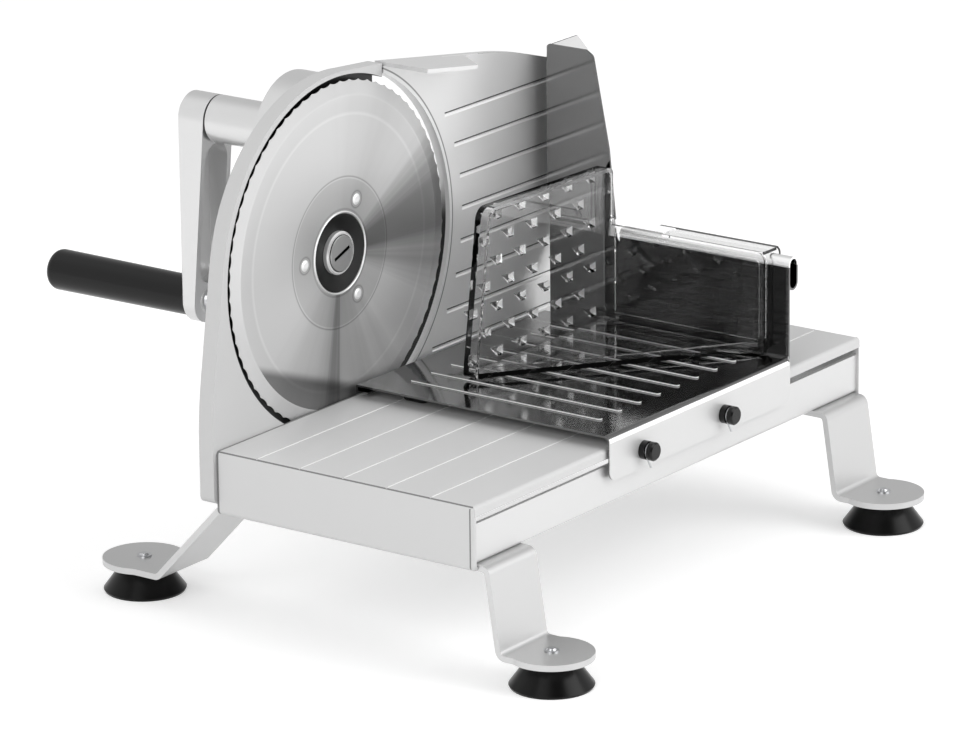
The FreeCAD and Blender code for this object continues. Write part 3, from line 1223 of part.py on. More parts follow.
# ------------------------------------------------------------------ remnant holder
def remnant_holder():
    """Clear moulding: spiked pusher plate, side wing, floor web and hook over the tube."""
    body = new_body("remnant_holder")
    back, low, high, right = s.holder_back, holder_low, holder_high, s.holder_right
    face = back - s.holder_skin
    front = back - s.holder_skin - s.holder_rim
    wall = s.holder_wall
    lean = (s.holder_head_left - s.holder_foot_left) / (high - low)
    slab(body, "plate", "Y", front, back, outline(
        (s.holder_foot_left, low, 2), (right, low, 2), (right, high - 2, 4),
        (s.holder_head_left, high, 7)))
    slab(body, "plate_hollow", "Y", front - 1, face, outline(
        (s.holder_foot_left + wall * (lean + 1), low + wall, 1),
        (right - s.wing_sheet, low + wall, 1), (right - s.wing_sheet, high - wall * 2, 3),
        (s.holder_head_left + wall, high - wall, 5)), cut=True)
    floor = low
    slab(body, "web", "Z", floor, floor + wall, outline(
        (s.holder_foot_left + 2, front + 1), (right - 0.5, front + 1),
        (right - 0.5, s.wing_front + 2)))
    slab(body, "web_rim", "Z", floor, floor + wall * 2.4, outline(
        (s.holder_foot_left + 1, front + 1), (s.holder_foot_left + 4, front + 1),
        (right - 0.5, s.wing_front + 6), (right - 0.5, s.wing_front + 2.5)))
    hook_under = tube_high + s.hook_gap
    hook_top = hook_under + s.hook_sheet
    hook_face = s.sled_wall_face + s.tube_width + s.hook_gap * 2
    slab(body, "wing", "X", right - s.wing_sheet, right, outline(
        (front + 1, floor), (s.wing_front, floor, 4), (s.wing_front, hook_top, 5),
        (front + 1, hook_top)))
    slab(body, "wing_panel", "X", right - s.wing_sheet - 1, right - s.wing_sheet / 2,
         outline((front - 2, floor + wall * 3), (s.wing_front + 3, floor + wall * 3, 2),
                 (s.wing_front + 3, hook_top - 4, 3), (front - 2, hook_top - 4)), cut=True)
    slab(body, "hook_top", "Z", hook_under, hook_top, outline(
        (right - s.wing_sheet, s.wing_front + 1.2, 3), (hook_face + s.hook_sheet,
                                                        s.wing_front + 1.2),
        (hook_face + s.hook_sheet, s.hook_back - 12, 3), (right - s.wing_sheet,
                                                         s.hook_back - 12)))
    slab(body, "hook_flange", "X", hook_face, hook_face + s.hook_sheet, outline(
        (s.hook_front, hook_top - s.hook_drop, 4), (s.hook_front, hook_top, 3),
        (s.hook_back, hook_top, 3), (s.hook_back, hook_top - s.hook_drop, 4)))
    spikes(body, back)


def spikes(body, face):
    """Rows of short pyramids on the pusher plate, every second one left out in turn."""
    half = s.spike_base / 2
    for row in range(7):
        first = row % 2 + (2 if row in (0, 2) else 0)
        spike = body.newObject("PartDesign::AdditiveWedge", "spike_%d" % (row + 1))
        for path, value in (("Xmin", -half), ("Xmax", half), ("X2min", 0), ("X2max", 0),
                            ("Zmin", -half), ("Zmax", half), ("Z2min", 0), ("Z2max", 0),
                            ("Ymin", 0), ("Ymax", s.spike_length)):
            bind(spike, path, value)
        for path, value in (("x", s.spike_first + s.spike_step * first), ("y", face),
                            ("z", spike_top - s.spike_drop * row)):
            bind(spike, "Placement.Base." + path, value)
        repeat = body.newObject("PartDesign::LinearPattern", "spike_row_%d" % (row + 1))
        repeat.Originals = [spike]
        repeat.Direction = (body.Origin.OriginFeatures[0], [""])
        repeat.Occurrences = (12 - first) // 2
        bind(repeat, "Length", s.spike_step * 2 * (repeat.Occurrences - 1))
        body.Tip = repeat


def main():
    base_plate()
    guide_rail()
    legs()
    suction_cups()
    foot_bolts()
    leg_rivets()
    blade_housing()
    gear_case()
    case_screws()
    housing_screws()
    crank_tube()
    crank_bush()
    blade_bush()
    idler_pin()
    gears()
    crank_shaft()
    crank_washer()
    crank_arm()
    arm_screw()
    grip_axle()
    grip()
    blade()
    blade_carrier()
    blade_rivets()
    blade_spindle()
    lock_collar()
    lock_screw()
    stop_plate()
    guide_pins()
    plate_bracket()
    guide_bushes()
    bracket_spacers()
    bracket_screws()
    thickness_knob()
    knob_retainer()
    thickness_spindle()
    sled()
    sled_glides()
    slot_shoes()
    glide_studs()
    glide_knobs()
    knob_clips()
    remnant_holder()
    doc.recompute()
    for thing in doc.Objects:
        if "Invalid" in thing.State or "Error" in thing.State:
            raise RuntimeError("%s did not build" % thing.Label)
    os.makedirs("parts", exist_ok=True)
    for thing in NODES:
        if thing.Shape.isNull() or not thing.Shape.isValid():
            raise RuntimeError("%s has no valid shape" % thing.Label)
        thing.Shape.exportStep("parts/%s.step" % thing.Label)


main()
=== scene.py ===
import bpy, bmesh, math
from mathutils import Matrix, Vector


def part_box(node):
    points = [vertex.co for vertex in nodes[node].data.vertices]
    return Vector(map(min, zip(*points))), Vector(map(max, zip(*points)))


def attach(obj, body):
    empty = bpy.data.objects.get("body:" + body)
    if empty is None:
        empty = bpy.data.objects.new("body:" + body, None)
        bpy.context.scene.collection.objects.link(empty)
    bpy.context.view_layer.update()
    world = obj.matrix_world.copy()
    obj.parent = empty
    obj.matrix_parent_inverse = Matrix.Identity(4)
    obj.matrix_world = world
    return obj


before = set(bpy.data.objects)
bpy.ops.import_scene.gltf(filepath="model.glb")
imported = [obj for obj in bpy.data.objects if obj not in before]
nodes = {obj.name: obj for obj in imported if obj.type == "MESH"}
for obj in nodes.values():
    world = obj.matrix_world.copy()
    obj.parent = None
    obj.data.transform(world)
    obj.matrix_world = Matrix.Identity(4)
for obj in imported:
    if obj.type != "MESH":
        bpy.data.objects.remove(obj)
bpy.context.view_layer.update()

# Base plate: bent steel sheet in satin light grey powder coat, which gives a soft sheen with a
# very fine orange peel. A highlight is painted down in its pressed grooves and shade along its
# folds.
mm = 0.001


def tone(code):
    """A linear colour from an sRGB hex code."""
    parts = [int(code[i:i + 2], 16) / 255 for i in (0, 2, 4)]
    return [c / 12.92 if c <= 0.04045 else ((c + 0.055) / 1.055) ** 2.4 for c in parts] + [1.0]


def add(material, kind, settings=None, stops=None, **inputs):
    """Adds a node. An input is a value or a (node, output) pair, and _0 is the first socket;
    stops are a ramp's (position, grey level) pairs."""
    tree = material.node_tree
    node = tree.nodes.new("ShaderNode" + kind)
    for name, value in (settings or {}).items():
        setattr(node, name, value)
    for name, value in inputs.items():
        socket = node.inputs[int(name[1:]) if name[0] == "_" else name.replace("_", " ")]
        if isinstance(value, tuple) and hasattr(value[0], "outputs"):
            tree.links.new(value[0].outputs[value[1]], socket)
        else:
            socket.default_value = value
    if stops:
        marks = node.color_ramp.elements
        while len(marks) < len(stops):
            marks.new(0.5)
        for mark, (position, level) in zip(marks, stops):
            mark.position = position
            mark.color = (level, level, level, 1.0)
    return node


def new_finish(name):
    """An empty material, to be filled and closed."""
    finish = bpy.data.materials.new(name)
    finish.use_nodes = True
    finish.node_tree.nodes.clear()
    return finish


def close(finish, shader):
    """Joins the last shader to the material's output."""
    add(finish, "OutputMaterial", Surface=(shader, 0))
    return finish


def grain(finish, size_mm, depth_mm, stretch=(1, 1, 1)):
    """A fine uneven surface of one grain size and depth; a stretch under 1 draws grains out."""
    place = add(finish, "TexCoord")
    spread = add(finish, "VectorMath", {"operation": "MULTIPLY"}, _0=(place, "Object"),
                 _1=stretch)
    noise = add(finish, "TexNoise", _0=(spread, 0), Scale=1 / (size_mm * mm), Detail=3.0)
    return add(finish, "Bump", Height=(noise, 0), Distance=depth_mm * mm, Strength=1.0)


def within(finish, low, high):
    """1 where a piece lies between two corners, else 0."""
    place = add(finish, "TexCoord")
    middle = (Vector(low) + Vector(high)) / 2
    half = (Vector(high) - Vector(low)) / 2
    offset = add(finish, "VectorMath", {"operation": "SUBTRACT"}, _0=(place, "Object"),
                 _1=middle)
    size = add(finish, "VectorMath", {"operation": "ABSOLUTE"}, _0=(offset, 0))
    room = add(finish, "VectorMath", {"operation": "SUBTRACT"}, _0=half, _1=(size, 0))
    sides = add(finish, "SeparateXYZ", _0=(room, 0))
    least = add(finish, "Math", {"operation": "MINIMUM"}, _0=(sides, 0), _1=(sides, 1))
    least = add(finish, "Math", {"operation": "MINIMUM"}, _0=(least, 0), _1=(sides, 2))
    return add(finish, "Math", {"operation": "GREATER_THAN"}, _0=(least, 0), _1=0.0)


def powder_coat(finish, colour):
    """Closes a satin coat in a colour that comes from a node."""
    peel = grain(finish, size_mm=0.7, depth_mm=0.012)
    return close(finish, add(finish, "BsdfPrincipled", Base_Color=colour, Roughness=0.38,
                             Normal=(peel, 0)))


def dress(names, finish, edge_mm):
    """Puts one material on CAD nodes and breaks their sharp edges."""
    for name in names.split():
        node = nodes[name]
        node.data.materials.clear()
        node.data.materials.append(finish)
        for face in node.data.polygons:
            face.use_smooth = True
        edge = node.modifiers.new("edge", "BEVEL")
        edge.width = edge_mm * mm
        edge.segments = 2
        edge.limit_method = "ANGLE"
        edge.angle_limit = math.radians(40)
        edge.harden_normals = True


base_low, base_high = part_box("base_plate")
base_rim, groove_floor, groove_brim = 3 * mm, 1.2 * mm, 0.08 * mm
base_coat = new_finish("satin_grey_powder_coat")
# The pressed grooves get a painted highlight.
groove_highlight = within(
    base_coat, (base_low.x + base_rim, base_low.y + base_rim, base_high.z - groove_floor),
    (base_high.x - base_rim, base_high.y - base_rim, base_high.z - groove_brim))

# Its lines of painted shade: along the top's left fold, down the left end near the front, and
# along the rear edge in front of the housing, where the two meet.
line_width, line_end, beyond = 0.8 * mm, 1 * mm, 1 * mm
top_fold_depth, top_fold_stop, end_fold_depth = 0.6 * mm, 0.5 * mm, 0.4 * mm
top_fold_at, end_fold_at = base_low.x + 0.6 * mm, base_low.y + 1.8 * mm
contact_shade_depth, contact_shade_length = 1.2 * mm, 120 * mm
top_fold = within(
    base_coat, (top_fold_at, base_low.y + line_end, base_high.z - top_fold_depth),
    (top_fold_at + line_width, base_high.y - top_fold_stop, base_high.z + beyond))
end_fold = within(
    base_coat, (base_low.x - beyond, end_fold_at, base_low.z),
    (base_low.x + end_fold_depth, end_fold_at + line_width, base_high.z - line_end))
housing_contact_shade = within(
    base_coat, (base_low.x - beyond, base_high.y - contact_shade_depth, base_low.z),
    (base_low.x + contact_shade_length, base_high.y + beyond, base_high.z + beyond))
shade_lines = top_fold
for line in (end_fold, housing_contact_shade):
    shade_lines = add(base_coat, "Math", {"operation": "MAXIMUM"}, _0=(shade_lines, 0),
                     _1=(line, 0))
# Painted highlight in the grooves, then painted shade along the lines.
groove_highlighted = add(base_coat, "Mix", {"data_type": "RGBA"}, Factor=(groove_highlight, 0),
              _6=tone("d3d3d3"), _7=tone("f2f2f2"))
shade_lined = add(base_coat, "Mix", {"data_type": "RGBA"}, Factor=(shade_lines, 0), _6=(groove_highlighted, 2),
            _7=tone("7c7c7c"))
dress("base_plate", powder_coat(base_coat, (shade_lined, 2)), 0.35)

# Guide rail: an aluminium angle between the base's end walls, held under its front lip by the
# front legs' rivets. It is bright anodised, so paler and more metallic than the coat.
rail_finish = new_finish("bright_anodised_aluminium")
close(rail_finish, add(rail_finish, "BsdfPrincipled", Base_Color=tone("dadada"), Metallic=0.5,
                       Roughness=0.4))
dress("guide_rail", rail_finish, 0.25)

# Legs: steel strip, bent, riveted under the base, tumbled and satin nickel plated, which
# gives a soft metal sheen without a mirror image.
nickel = new_finish("satin_nickel")
tumbled = grain(nickel, size_mm=0.8, depth_mm=0.01)
close(nickel, add(nickel, "BsdfPrincipled", Base_Color=tone("cccccc"), Metallic=0.8,
                  Roughness=0.36, Normal=(tumbled, 0)))
dress("leg_front_left leg_front_right leg_rear_left leg_rear_right", nickel, 0.5)

# Suction cups: soft black rubber, moulded round the studs under the legs' feet, with a low
# damp gleam. The crank's thin fibre washer is as dark and has the same finish.
rubber = new_finish("black_rubber")
close(rubber, add(rubber, "BsdfPrincipled", Base_Color=tone("030303"), Roughness=0.28,
                  Specular_IOR_Level=0.2))
dress("suction_cup_front_left suction_cup_front_right suction_cup_rear_left "
      "suction_cup_rear_right", rubber, 0.4)
dress("crank_washer", rubber, 0.1)

# Screws, rivets, pins, shafts, the stop plate's bracket and the knobs' wire clips: steel,
# turned, pressed or bent, and zinc plated, so bright and slightly dull.
zinc = new_finish("zinc_plate")
close(zinc, add(zinc, "BsdfPrincipled", Base_Color=tone("c4c5c7"), Metallic=1.0, Roughness=0.3))
dress("foot_bolts leg_rivets case_screws housing_screws arm_screw plate_bracket bracket_spacers "
      "bracket_screws guide_pins thickness_spindle glide_studs crank_shaft grip_axle "
      "blade_spindle knob_retainer idler_pin", zinc, 0.2)
dress("knob_clips", zinc, 0.08)

# Blade housing: a cast panel screwed behind the base, in the same kind of coat. Shade is painted
# down in the round recess that the blade runs in, a little lighter low down.
blade_low, blade_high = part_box("blade")
hub = Vector(((blade_low.x + blade_high.x) / 2, blade_high.y, (blade_low.z + blade_high.z) / 2))


def round_axis(finish, centre):
    """The spoke from an axis along Y in mm, its length, and the direction round the axis."""
    place = add(finish, "TexCoord")
    offset = add(finish, "VectorMath", {"operation": "SUBTRACT"}, _0=(place, "Object"),
                 _1=centre)
    spoke = add(finish, "VectorMath", {"operation": "MULTIPLY"}, _0=(offset, 0),
                _1=(1 / mm, 0, 1 / mm))
    length = add(finish, "VectorMath", {"operation": "LENGTH"}, _0=(spoke, 0))
    across = add(finish, "VectorMath", {"operation": "CROSS_PRODUCT"}, _0=(spoke, 0),
                 _1=(0, 1, 0))
    around = add(finish, "VectorMath", {"operation": "NORMALIZE"}, _0=(across, 0))
    return spoke, length, around


housing_low, housing_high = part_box("blade_housing")
recess_radius_mm, back_skin = 87.9, 1 * mm
shade_low, shade_full, shade_least = 60 * mm, 20 * mm, 0.72
housing_coat = new_finish("satin_grey_coat_painted_recess_shade")
length = round_axis(housing_coat, hub)[1]
# Painted shade inside the blade's round recess, in front of the back skin.
recess = add(housing_coat, "Math", {"operation": "LESS_THAN"}, _0=(length, 1),
             _1=recess_radius_mm)
ahead_of_back = within(housing_coat, housing_low,
                       (housing_high.x, housing_high.y - back_skin, housing_high.z))
place = add(housing_coat, "TexCoord")
height = add(housing_coat, "SeparateXYZ", _0=(place, "Object"))
shade = add(housing_coat, "MapRange", _0=(height, 2), _1=hub.z - shade_low,
            _2=hub.z - shade_full, _3=shade_least, _4=1.0)
for mask in (ahead_of_back, shade):
    recess = add(housing_coat, "Math", {"operation": "MULTIPLY"}, _0=(recess, 0), _1=(mask, 0))
shaded = add(housing_coat, "Mix", {"data_type": "RGBA"}, Factor=(recess, 0), _6=tone("cacaca"),
             _7=tone("0c0c0c"))
dress("blade_housing", powder_coat(housing_coat, (shaded, 2)), 0.7)

# Gear case, bearing tube and crank arm: die castings in silver lacquer, whose fine flake gives
# a soft metal look. The case is screwed to the housing's back. Real flake is far finer than
# 0.4 mm and is drawn that coarse so that it shows.
lacquer = new_finish("silver_lacquer")
flake = grain(lacquer, size_mm=0.4, depth_mm=0.008)
close(lacquer, add(lacquer, "BsdfPrincipled", Base_Color=tone("dcdcdc"), Metallic=0.75,
                   Roughness=0.3, Normal=(flake, 0)))
dress("gear_case crank_tube crank_arm", lacquer, 0.6)

# Bushes for the crank, the blade's spindle and the stop plate's pins: sintered bronze, pressed
# in, brown and matt.
bronze = new_finish("sintered_bronze")
close(bronze, add(bronze, "BsdfPrincipled", Base_Color=tone("9a7b4c"), Metallic=0.9,
                  Roughness=0.45))
dress("crank_bush blade_bush guide_bushes", bronze, 0.1)

# Gears: moulded in natural nylon, cream and slightly waxy. The idler turns on its pin, and the
# other two are pressed on their shafts.
nylon = new_finish("natural_nylon")
close(nylon, add(nylon, "BsdfPrincipled", Base_Color=tone("d9d4c4"), Roughness=0.45))
dress("crank_gear idler_gear blade_pinion", nylon, 0.08)

# Grip, thickness knob, the sled's glides and slot shoes, and its knobs: black plastic, moulded
# with a fine spark texture, so that highlights break up a little.
moulding = new_finish("black_moulding")
spark = grain(moulding, size_mm=0.5, depth_mm=0.01)
close(moulding, add(moulding, "BsdfPrincipled", Base_Color=tone("080808"), Roughness=0.26,
                    Specular_IOR_Level=0.3, Normal=(spark, 0)))
dress("grip thickness_knob sled_glides slot_shoes glide_knobs", moulding, 0.35)

# Blade: a disc of stainless steel ground in circles, so that it catches light in sectors; these
# sectors are also painted into its colour. Rings between its zones, a dark reflection low down
# and a ring round each of its three rivets are painted as highlight and shade too.


def turned_steel(finish, tint, roughness, length, around):
    """Closes bare steel turned about the hub, whose ridges smear light round the axis. They are
    finer on real steel and are drawn 0.5 mm apart so that they show."""
    ridge_mm = 0.5
    ridges = add(finish, "TexNoise", {"noise_dimensions": "1D"}, W=(length, 1),
                 Scale=1 / ridge_mm, Detail=2.0)
    bump = add(finish, "Bump", Height=(ridges, 0), Distance=0.006 * mm, Strength=1.0)
    return close(finish, add(finish, "BsdfPrincipled", Base_Color=tint, Metallic=0.5,
                             Roughness=roughness, Anisotropic=0.8, Tangent=(around, 0),
                             Normal=(bump, 0)))


blade_steel = new_finish("ground_blade_steel")
spoke, length, around = round_axis(blade_steel, hub)

# Its painted highlight and shade rings, from the hole outwards: (mm from the hub, grey level).
blade_reach_mm = 100.0
blade_rings = ((0, 0.6), (21.2, 0.6), (21.6, 0.35), (22.2, 0.64), (36.4, 0.7), (36.9, 1.0),
               (37.5, 0.45), (38.2, 0.84), (67.2, 0.84), (68.2, 0.95), (69.6, 0.82),
               (76.6, 0.84), (77.4, 0.9), (78.4, 0.86), (85.0, 0.86))
ring_share = add(blade_steel, "Math", {"operation": "DIVIDE"}, _0=(length, 1),
                 _1=blade_reach_mm)
rings = add(blade_steel, "ValToRGB", Fac=(ring_share, 0),
            stops=[(radius / blade_reach_mm, level) for radius, level in blade_rings])

# Its painted light and dark sectors, once round from -X by way of the bottom, with ragged
# borders: (turn, grey level).
blade_sectors = ((0.0, 0.76), (0.1, 0.78), (0.2, 0.6), (0.226, 0.5), (0.231, 0.3), (0.238, 0.3),
                 (0.243, 0.5), (0.29, 0.62), (0.36, 0.95), (0.42, 1.0), (0.47, 0.5),
                 (0.5, 0.25), (0.545, 0.25), (0.575, 0.5), (0.6, 0.68), (0.66, 0.62),
                 (0.76, 0.74), (1.0, 0.76))
ragged = 0.07
sides = add(blade_steel, "SeparateXYZ", _0=(spoke, 0))
bearing = add(blade_steel, "Math", {"operation": "ARCTAN2"}, _0=(sides, 2), _1=(sides, 0))
streaks = add(blade_steel, "TexNoise", _0=(around, 0), Scale=9.0, Detail=4.0)
nudge = add(blade_steel, "MapRange", _0=(streaks, 0), _1=0.3, _2=0.7, _3=-ragged, _4=ragged)
bearing = add(blade_steel, "Math", {"operation": "ADD"}, _0=(bearing, 0), _1=(nudge, 0))
turn = add(blade_steel, "MapRange", _0=(bearing, 0), _1=-math.pi, _2=math.pi)
sectors = add(blade_steel, "ValToRGB", Fac=(turn, 0), stops=blade_sectors)

# A dark reflection is painted on its foot, from the height of the base downwards, as far out as
# the bevel.
bevel_mm, dark_slope, dark_from_mm, dark_full_mm, dark_level = 77.0, 0.36, -63.0, -69.0, 0.32
drop = add(blade_steel, "VectorMath", {"operation": "DOT_PRODUCT"}, _0=(spoke, 0),
           _1=(dark_slope, 0, 1.0))
foot = add(blade_steel, "MapRange", {"interpolation_type": "SMOOTHSTEP"}, _0=(drop, 1),
           _1=dark_full_mm, _2=dark_from_mm, _3=dark_level, _4=1.0)
bevelled = add(blade_steel, "Math", {"operation": "GREATER_THAN"}, _0=(length, 1), _1=bevel_mm)
foot = add(blade_steel, "Math", {"operation": "MAXIMUM"}, _0=(foot, 0), _1=(bevelled, 0))

# Painted shade round its rivets: a dark ring between 3.7 and 5 mm from each rivet's middle.
rivet_circle, spot_reach_mm = 27.6 * mm, 8.0
spot_rings = ((0.0, 1.0), (0.46, 1.0), (0.5, 0.55), (0.56, 0.8), (0.62, 1.0))
blade_shades = [rings, sectors, foot]
for degrees in (60, 180, 300):
    angle = math.radians(degrees)
    rivet = hub + Vector((math.cos(angle), 0, math.sin(angle))) * rivet_circle
    near = add(blade_steel, "Math", {"operation": "DIVIDE"},
               _0=(round_axis(blade_steel, rivet)[1], 1), _1=spot_reach_mm)
    blade_shades.append(add(blade_steel, "ValToRGB", Fac=(near, 0), stops=spot_rings))
tint = tone("ffffff")
for blade_shade in blade_shades:
    tint = (add(blade_steel, "Mix", {"data_type": "RGBA", "blend_type": "MULTIPLY"},
                Factor=1.0, _6=tint, _7=(blade_shade, 0)), 2)
dress("blade", turned_steel(blade_steel, tint, 0.3, length, around), 0.08)

# Bead round the blade's hole: the hole's edge rolled over and left bare, which gives a bright
# ring. It stands half proud of the blade's front face and turns with the blade.
bead_radius, bead_thick = 20.2 * mm, 0.55 * mm
bead = bmesh.new()
bmesh.ops.create_circle(bead, segments=12, radius=bead_thick)
bmesh.ops.translate(bead, verts=bead.verts, vec=(bead_radius, 0, 0))
bmesh.ops.spin(bead, geom=bead.verts[:] + bead.edges[:], cent=(0, 0, 0), axis=(0, 1, 0),
               angle=math.tau, steps=96, use_merge=True)
bmesh.ops.remove_doubles(bead, verts=bead.verts, dist=0.01 * mm)
bmesh.ops.recalc_face_normals(bead, faces=bead.faces)
bmesh.ops.translate(bead, verts=bead.verts, vec=(hub.x, blade_low.y, hub.z))
bead_mesh = bpy.data.meshes.new("blade_bead")
bead.to_mesh(bead_mesh)
bead.free()
for face in bead_mesh.polygons:
    face.use_smooth = True
rolled = new_finish("bare_rolled_steel")
close(rolled, add(rolled, "BsdfPrincipled", Base_Color=tone("f4f4f4"), Metallic=0.8,
                  Roughness=0.3))
bead_mesh.materials.append(rolled)
blade_bead = bpy.data.objects.new("blade_bead", bead_mesh)
scene = bpy.context.scene
scene.collection.objects.link(blade_bead)
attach(blade_bead, "blade")

# Blade rivets: steel, pressed flat where they join blade and carrier and left bright, which
# gives nearly white discs with a soft edge.
rivet_steel = new_finish("bright_rivet_steel")
close(rivet_steel, add(rivet_steel, "BsdfPrincipled", Base_Color=tone("f6f6f6"), Metallic=0.5,
                       Roughness=0.5))
dress("blade_rivets", rivet_steel, 0.15)

# Lock collar: a chamfered washer of turned steel under the lock screw, bright, with a line of
# painted shade near its hole.
collar_steel = new_finish("bright_turned_steel")
collar_reach_mm = 20.0
collar_rings = ((0, 0.9), (8.9, 0.9), (9.2, 0.2), (9.5, 1.0), (20, 1.0))
length, around = round_axis(collar_steel, hub)[1:]
ring_share = add(collar_steel, "Math", {"operation": "DIVIDE"}, _0=(length, 1),
                 _1=collar_reach_mm)
rings = add(collar_steel, "ValToRGB", Fac=(ring_share, 0),
            stops=[(radius / collar_reach_mm, level) for radius, level in collar_rings])
tint = add(collar_steel, "Mix", {"data_type": "RGBA", "blend_type": "MULTIPLY"}, Factor=1.0,
           _6=tone("e6e6e6"), _7=(rings, 0))
dress("lock_collar", turned_steel(collar_steel, (tint, 2), 0.22, length, around), 0.15)

# Lock screw: turned steel that holds the blade, with a milled coin slot. Its head has a dull
# gleam, and the inside of the slot is painted black as shade.
screw_low, screw_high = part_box("lock_screw")
slot_brim = 0.3 * mm
screw_steel = new_finish("turned_screw_steel")
slot_shade = within(screw_steel, (screw_low.x, screw_low.y + slot_brim, screw_low.z), screw_high)
slotted = add(screw_steel, "Mix", {"data_type": "RGBA"}, Factor=(slot_shade, 0), _6=tone("b8b8b8"),
              _7=tone("050505"))
close(screw_steel, add(screw_steel, "BsdfPrincipled", Base_Color=(slotted, 2), Metallic=0.9,
                       Roughness=0.32))
dress("lock_screw", screw_steel, 0.12)

# Blade carrier: a dished disc of pressed steel riveted behind the blade and phosphated, which
# leaves it near black with a dull gleam.
phosphate = new_finish("dark_phosphated_steel")
close(phosphate, add(phosphate, "BsdfPrincipled", Base_Color=tone("2c2c2c"), Metallic=0.8,
                     Roughness=0.4))
dress("blade_carrier", phosphate, 0.15)

# Stop plate: aluminium sheet pressed with grooves, brushed along them and clear anodised, which
# gives a soft sheen. Each groove has painted shade on its upper flank and a painted highlight on
# its lower one. Real brush lines are finer and are drawn 0.35 mm wide so that they show.
plate_low, plate_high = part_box("stop_plate")
plate_front = blade_low.y
plate_skin, groove_depth, plate_end = 0.08 * mm, 0.85 * mm, 0.5 * mm
first_groove, groove_pitch, groove_middle = base_high.z + 7 * mm, 16.8 * mm, 0.3 * mm
grooves_reach, grooves_from_mm = 80 * mm, 96.0
brushed = new_finish("brushed_aluminium")
brush_lines = grain(brushed, size_mm=0.35, depth_mm=0.006, stretch=(0.02, 1, 1))
place = add(brushed, "TexCoord")
height = add(brushed, "SeparateXYZ", _0=(place, "Object"))
wrapped = add(brushed, "Math", {"operation": "WRAP"}, _0=(height, 2),
              _1=first_groove + groove_pitch / 2, _2=first_groove - groove_pitch / 2)
length = round_axis(brushed, hub)[1]
clear_of_lip = add(brushed, "Math", {"operation": "GREATER_THAN"}, _0=(length, 1),
                   _1=grooves_from_mm)
below_face = within(
    brushed, (plate_low.x, plate_front + plate_skin, hub.z - grooves_reach),
    (plate_high.x - plate_end, plate_front + groove_depth, hub.z + grooves_reach))
in_groove = add(brushed, "Math", {"operation": "MULTIPLY"}, _0=(below_face, 0),
                _1=(clear_of_lip, 0))
above_middle = add(brushed, "Math", {"operation": "GREATER_THAN"}, _0=(wrapped, 0),
                   _1=first_groove + groove_middle)
below_middle = add(brushed, "Math", {"operation": "LESS_THAN"}, _0=(wrapped, 0),
                   _1=first_groove - groove_middle)
upper_flank_shade = add(brushed, "Math", {"operation": "MULTIPLY"}, _0=(above_middle, 0),
                  _1=(in_groove, 0))
lower_flank_highlight = add(brushed, "Math", {"operation": "MULTIPLY"}, _0=(below_middle, 0),
                  _1=(in_groove, 0))

# Its cut-out, in painted light and shade: a bright lip, a dark line round that, and a dark wall
# below the hub's height. The sheet is also painted darker towards the top.
lip_reach_mm = 100.0
lip_rings = ((0.0, 1.0), (0.9155, 1.0), (0.917, 0.3), (0.922, 0.3), (0.925, 0.97), (1.0, 0.97))
ring_share = add(brushed, "Math", {"operation": "DIVIDE"}, _0=(length, 1), _1=lip_reach_mm)
lip = add(brushed, "ValToRGB", Fac=(ring_share, 0), stops=lip_rings)
# Painted shade: the sheet grows darker towards the top.
fade_below, fade_above, fade_level = 70 * mm, 50 * mm, 0.78
fade = add(brushed, "MapRange", _0=(height, 2), _1=hub.z - fade_below, _2=hub.z + fade_above,
           _3=1.0, _4=fade_level)
sheet_tone = add(brushed, "Mix", {"data_type": "RGBA", "blend_type": "MULTIPLY"}, Factor=1.0,
                 _6=(lip, 0), _7=(fade, 0))
wall_radius_mm, wall_reach, wall_height, wall_depth = 90.2, 90.5 * mm, 90 * mm, 2.6 * mm
dark_below, light_above = 5 * mm, 20 * mm
wall_shade = add(brushed, "Math", {"operation": "LESS_THAN"}, _0=(length, 1),
                _1=wall_radius_mm)
cut_side = within(brushed, (hub.x, plate_front + wall_depth, hub.z - wall_height),
                  (hub.x + wall_reach, plate_high.y, hub.z + wall_height))
low_part = add(brushed, "MapRange", {"interpolation_type": "SMOOTHSTEP"}, _0=(height, 2),
               _1=hub.z - dark_below, _2=hub.z + light_above, _3=1.0, _4=0.0)
for mask in (cut_side, low_part):
    wall_shade = add(brushed, "Math", {"operation": "MULTIPLY"}, _0=(wall_shade, 0),
                    _1=(mask, 0))
# Painted shade on the upper flanks and the low cut-out wall; painted highlight on the lower
# flanks.
dark = add(brushed, "Math", {"operation": "MAXIMUM"}, _0=(upper_flank_shade, 0), _1=(wall_shade, 0))
sheet_tone = add(brushed, "Mix", {"data_type": "RGBA"}, Factor=(lower_flank_highlight, 0),
                 _6=(sheet_tone, 2), _7=tone("ffffff"))
sheet_tone = add(brushed, "Mix", {"data_type": "RGBA"}, Factor=(dark, 0), _6=(sheet_tone, 2),
                 _7=tone("303030"))
close(brushed, add(brushed, "BsdfPrincipled", Base_Color=(sheet_tone, 2), Metallic=0.55,
                   Roughness=0.34, Normal=(brush_lines, 0)))
dress("stop_plate", brushed, 0.3)

# Sled: one sheet of stainless steel, folded, rolled to a tube on top of its side wall and
# polished like a mirror. Its ribs, front fold, apron, tube crown and the front of the guard's
# flange are painted paler as highlights, while the side wall is painted darker as a dark
# reflection and the back of the flange as shade.
sled_low, sled_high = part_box("sled")
sled_sheet, flange_width, tube_reach = 1 * mm, 37.8 * mm, 107.35 * mm
table_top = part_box("sled_glides")[1].z + sled_sheet
wall_face = sled_high.x - flange_width
inner_side = wall_face - sled_sheet
tube_end = sled_low.y + tube_reach
far = 1000 * mm
polished = new_finish("polished_stainless")

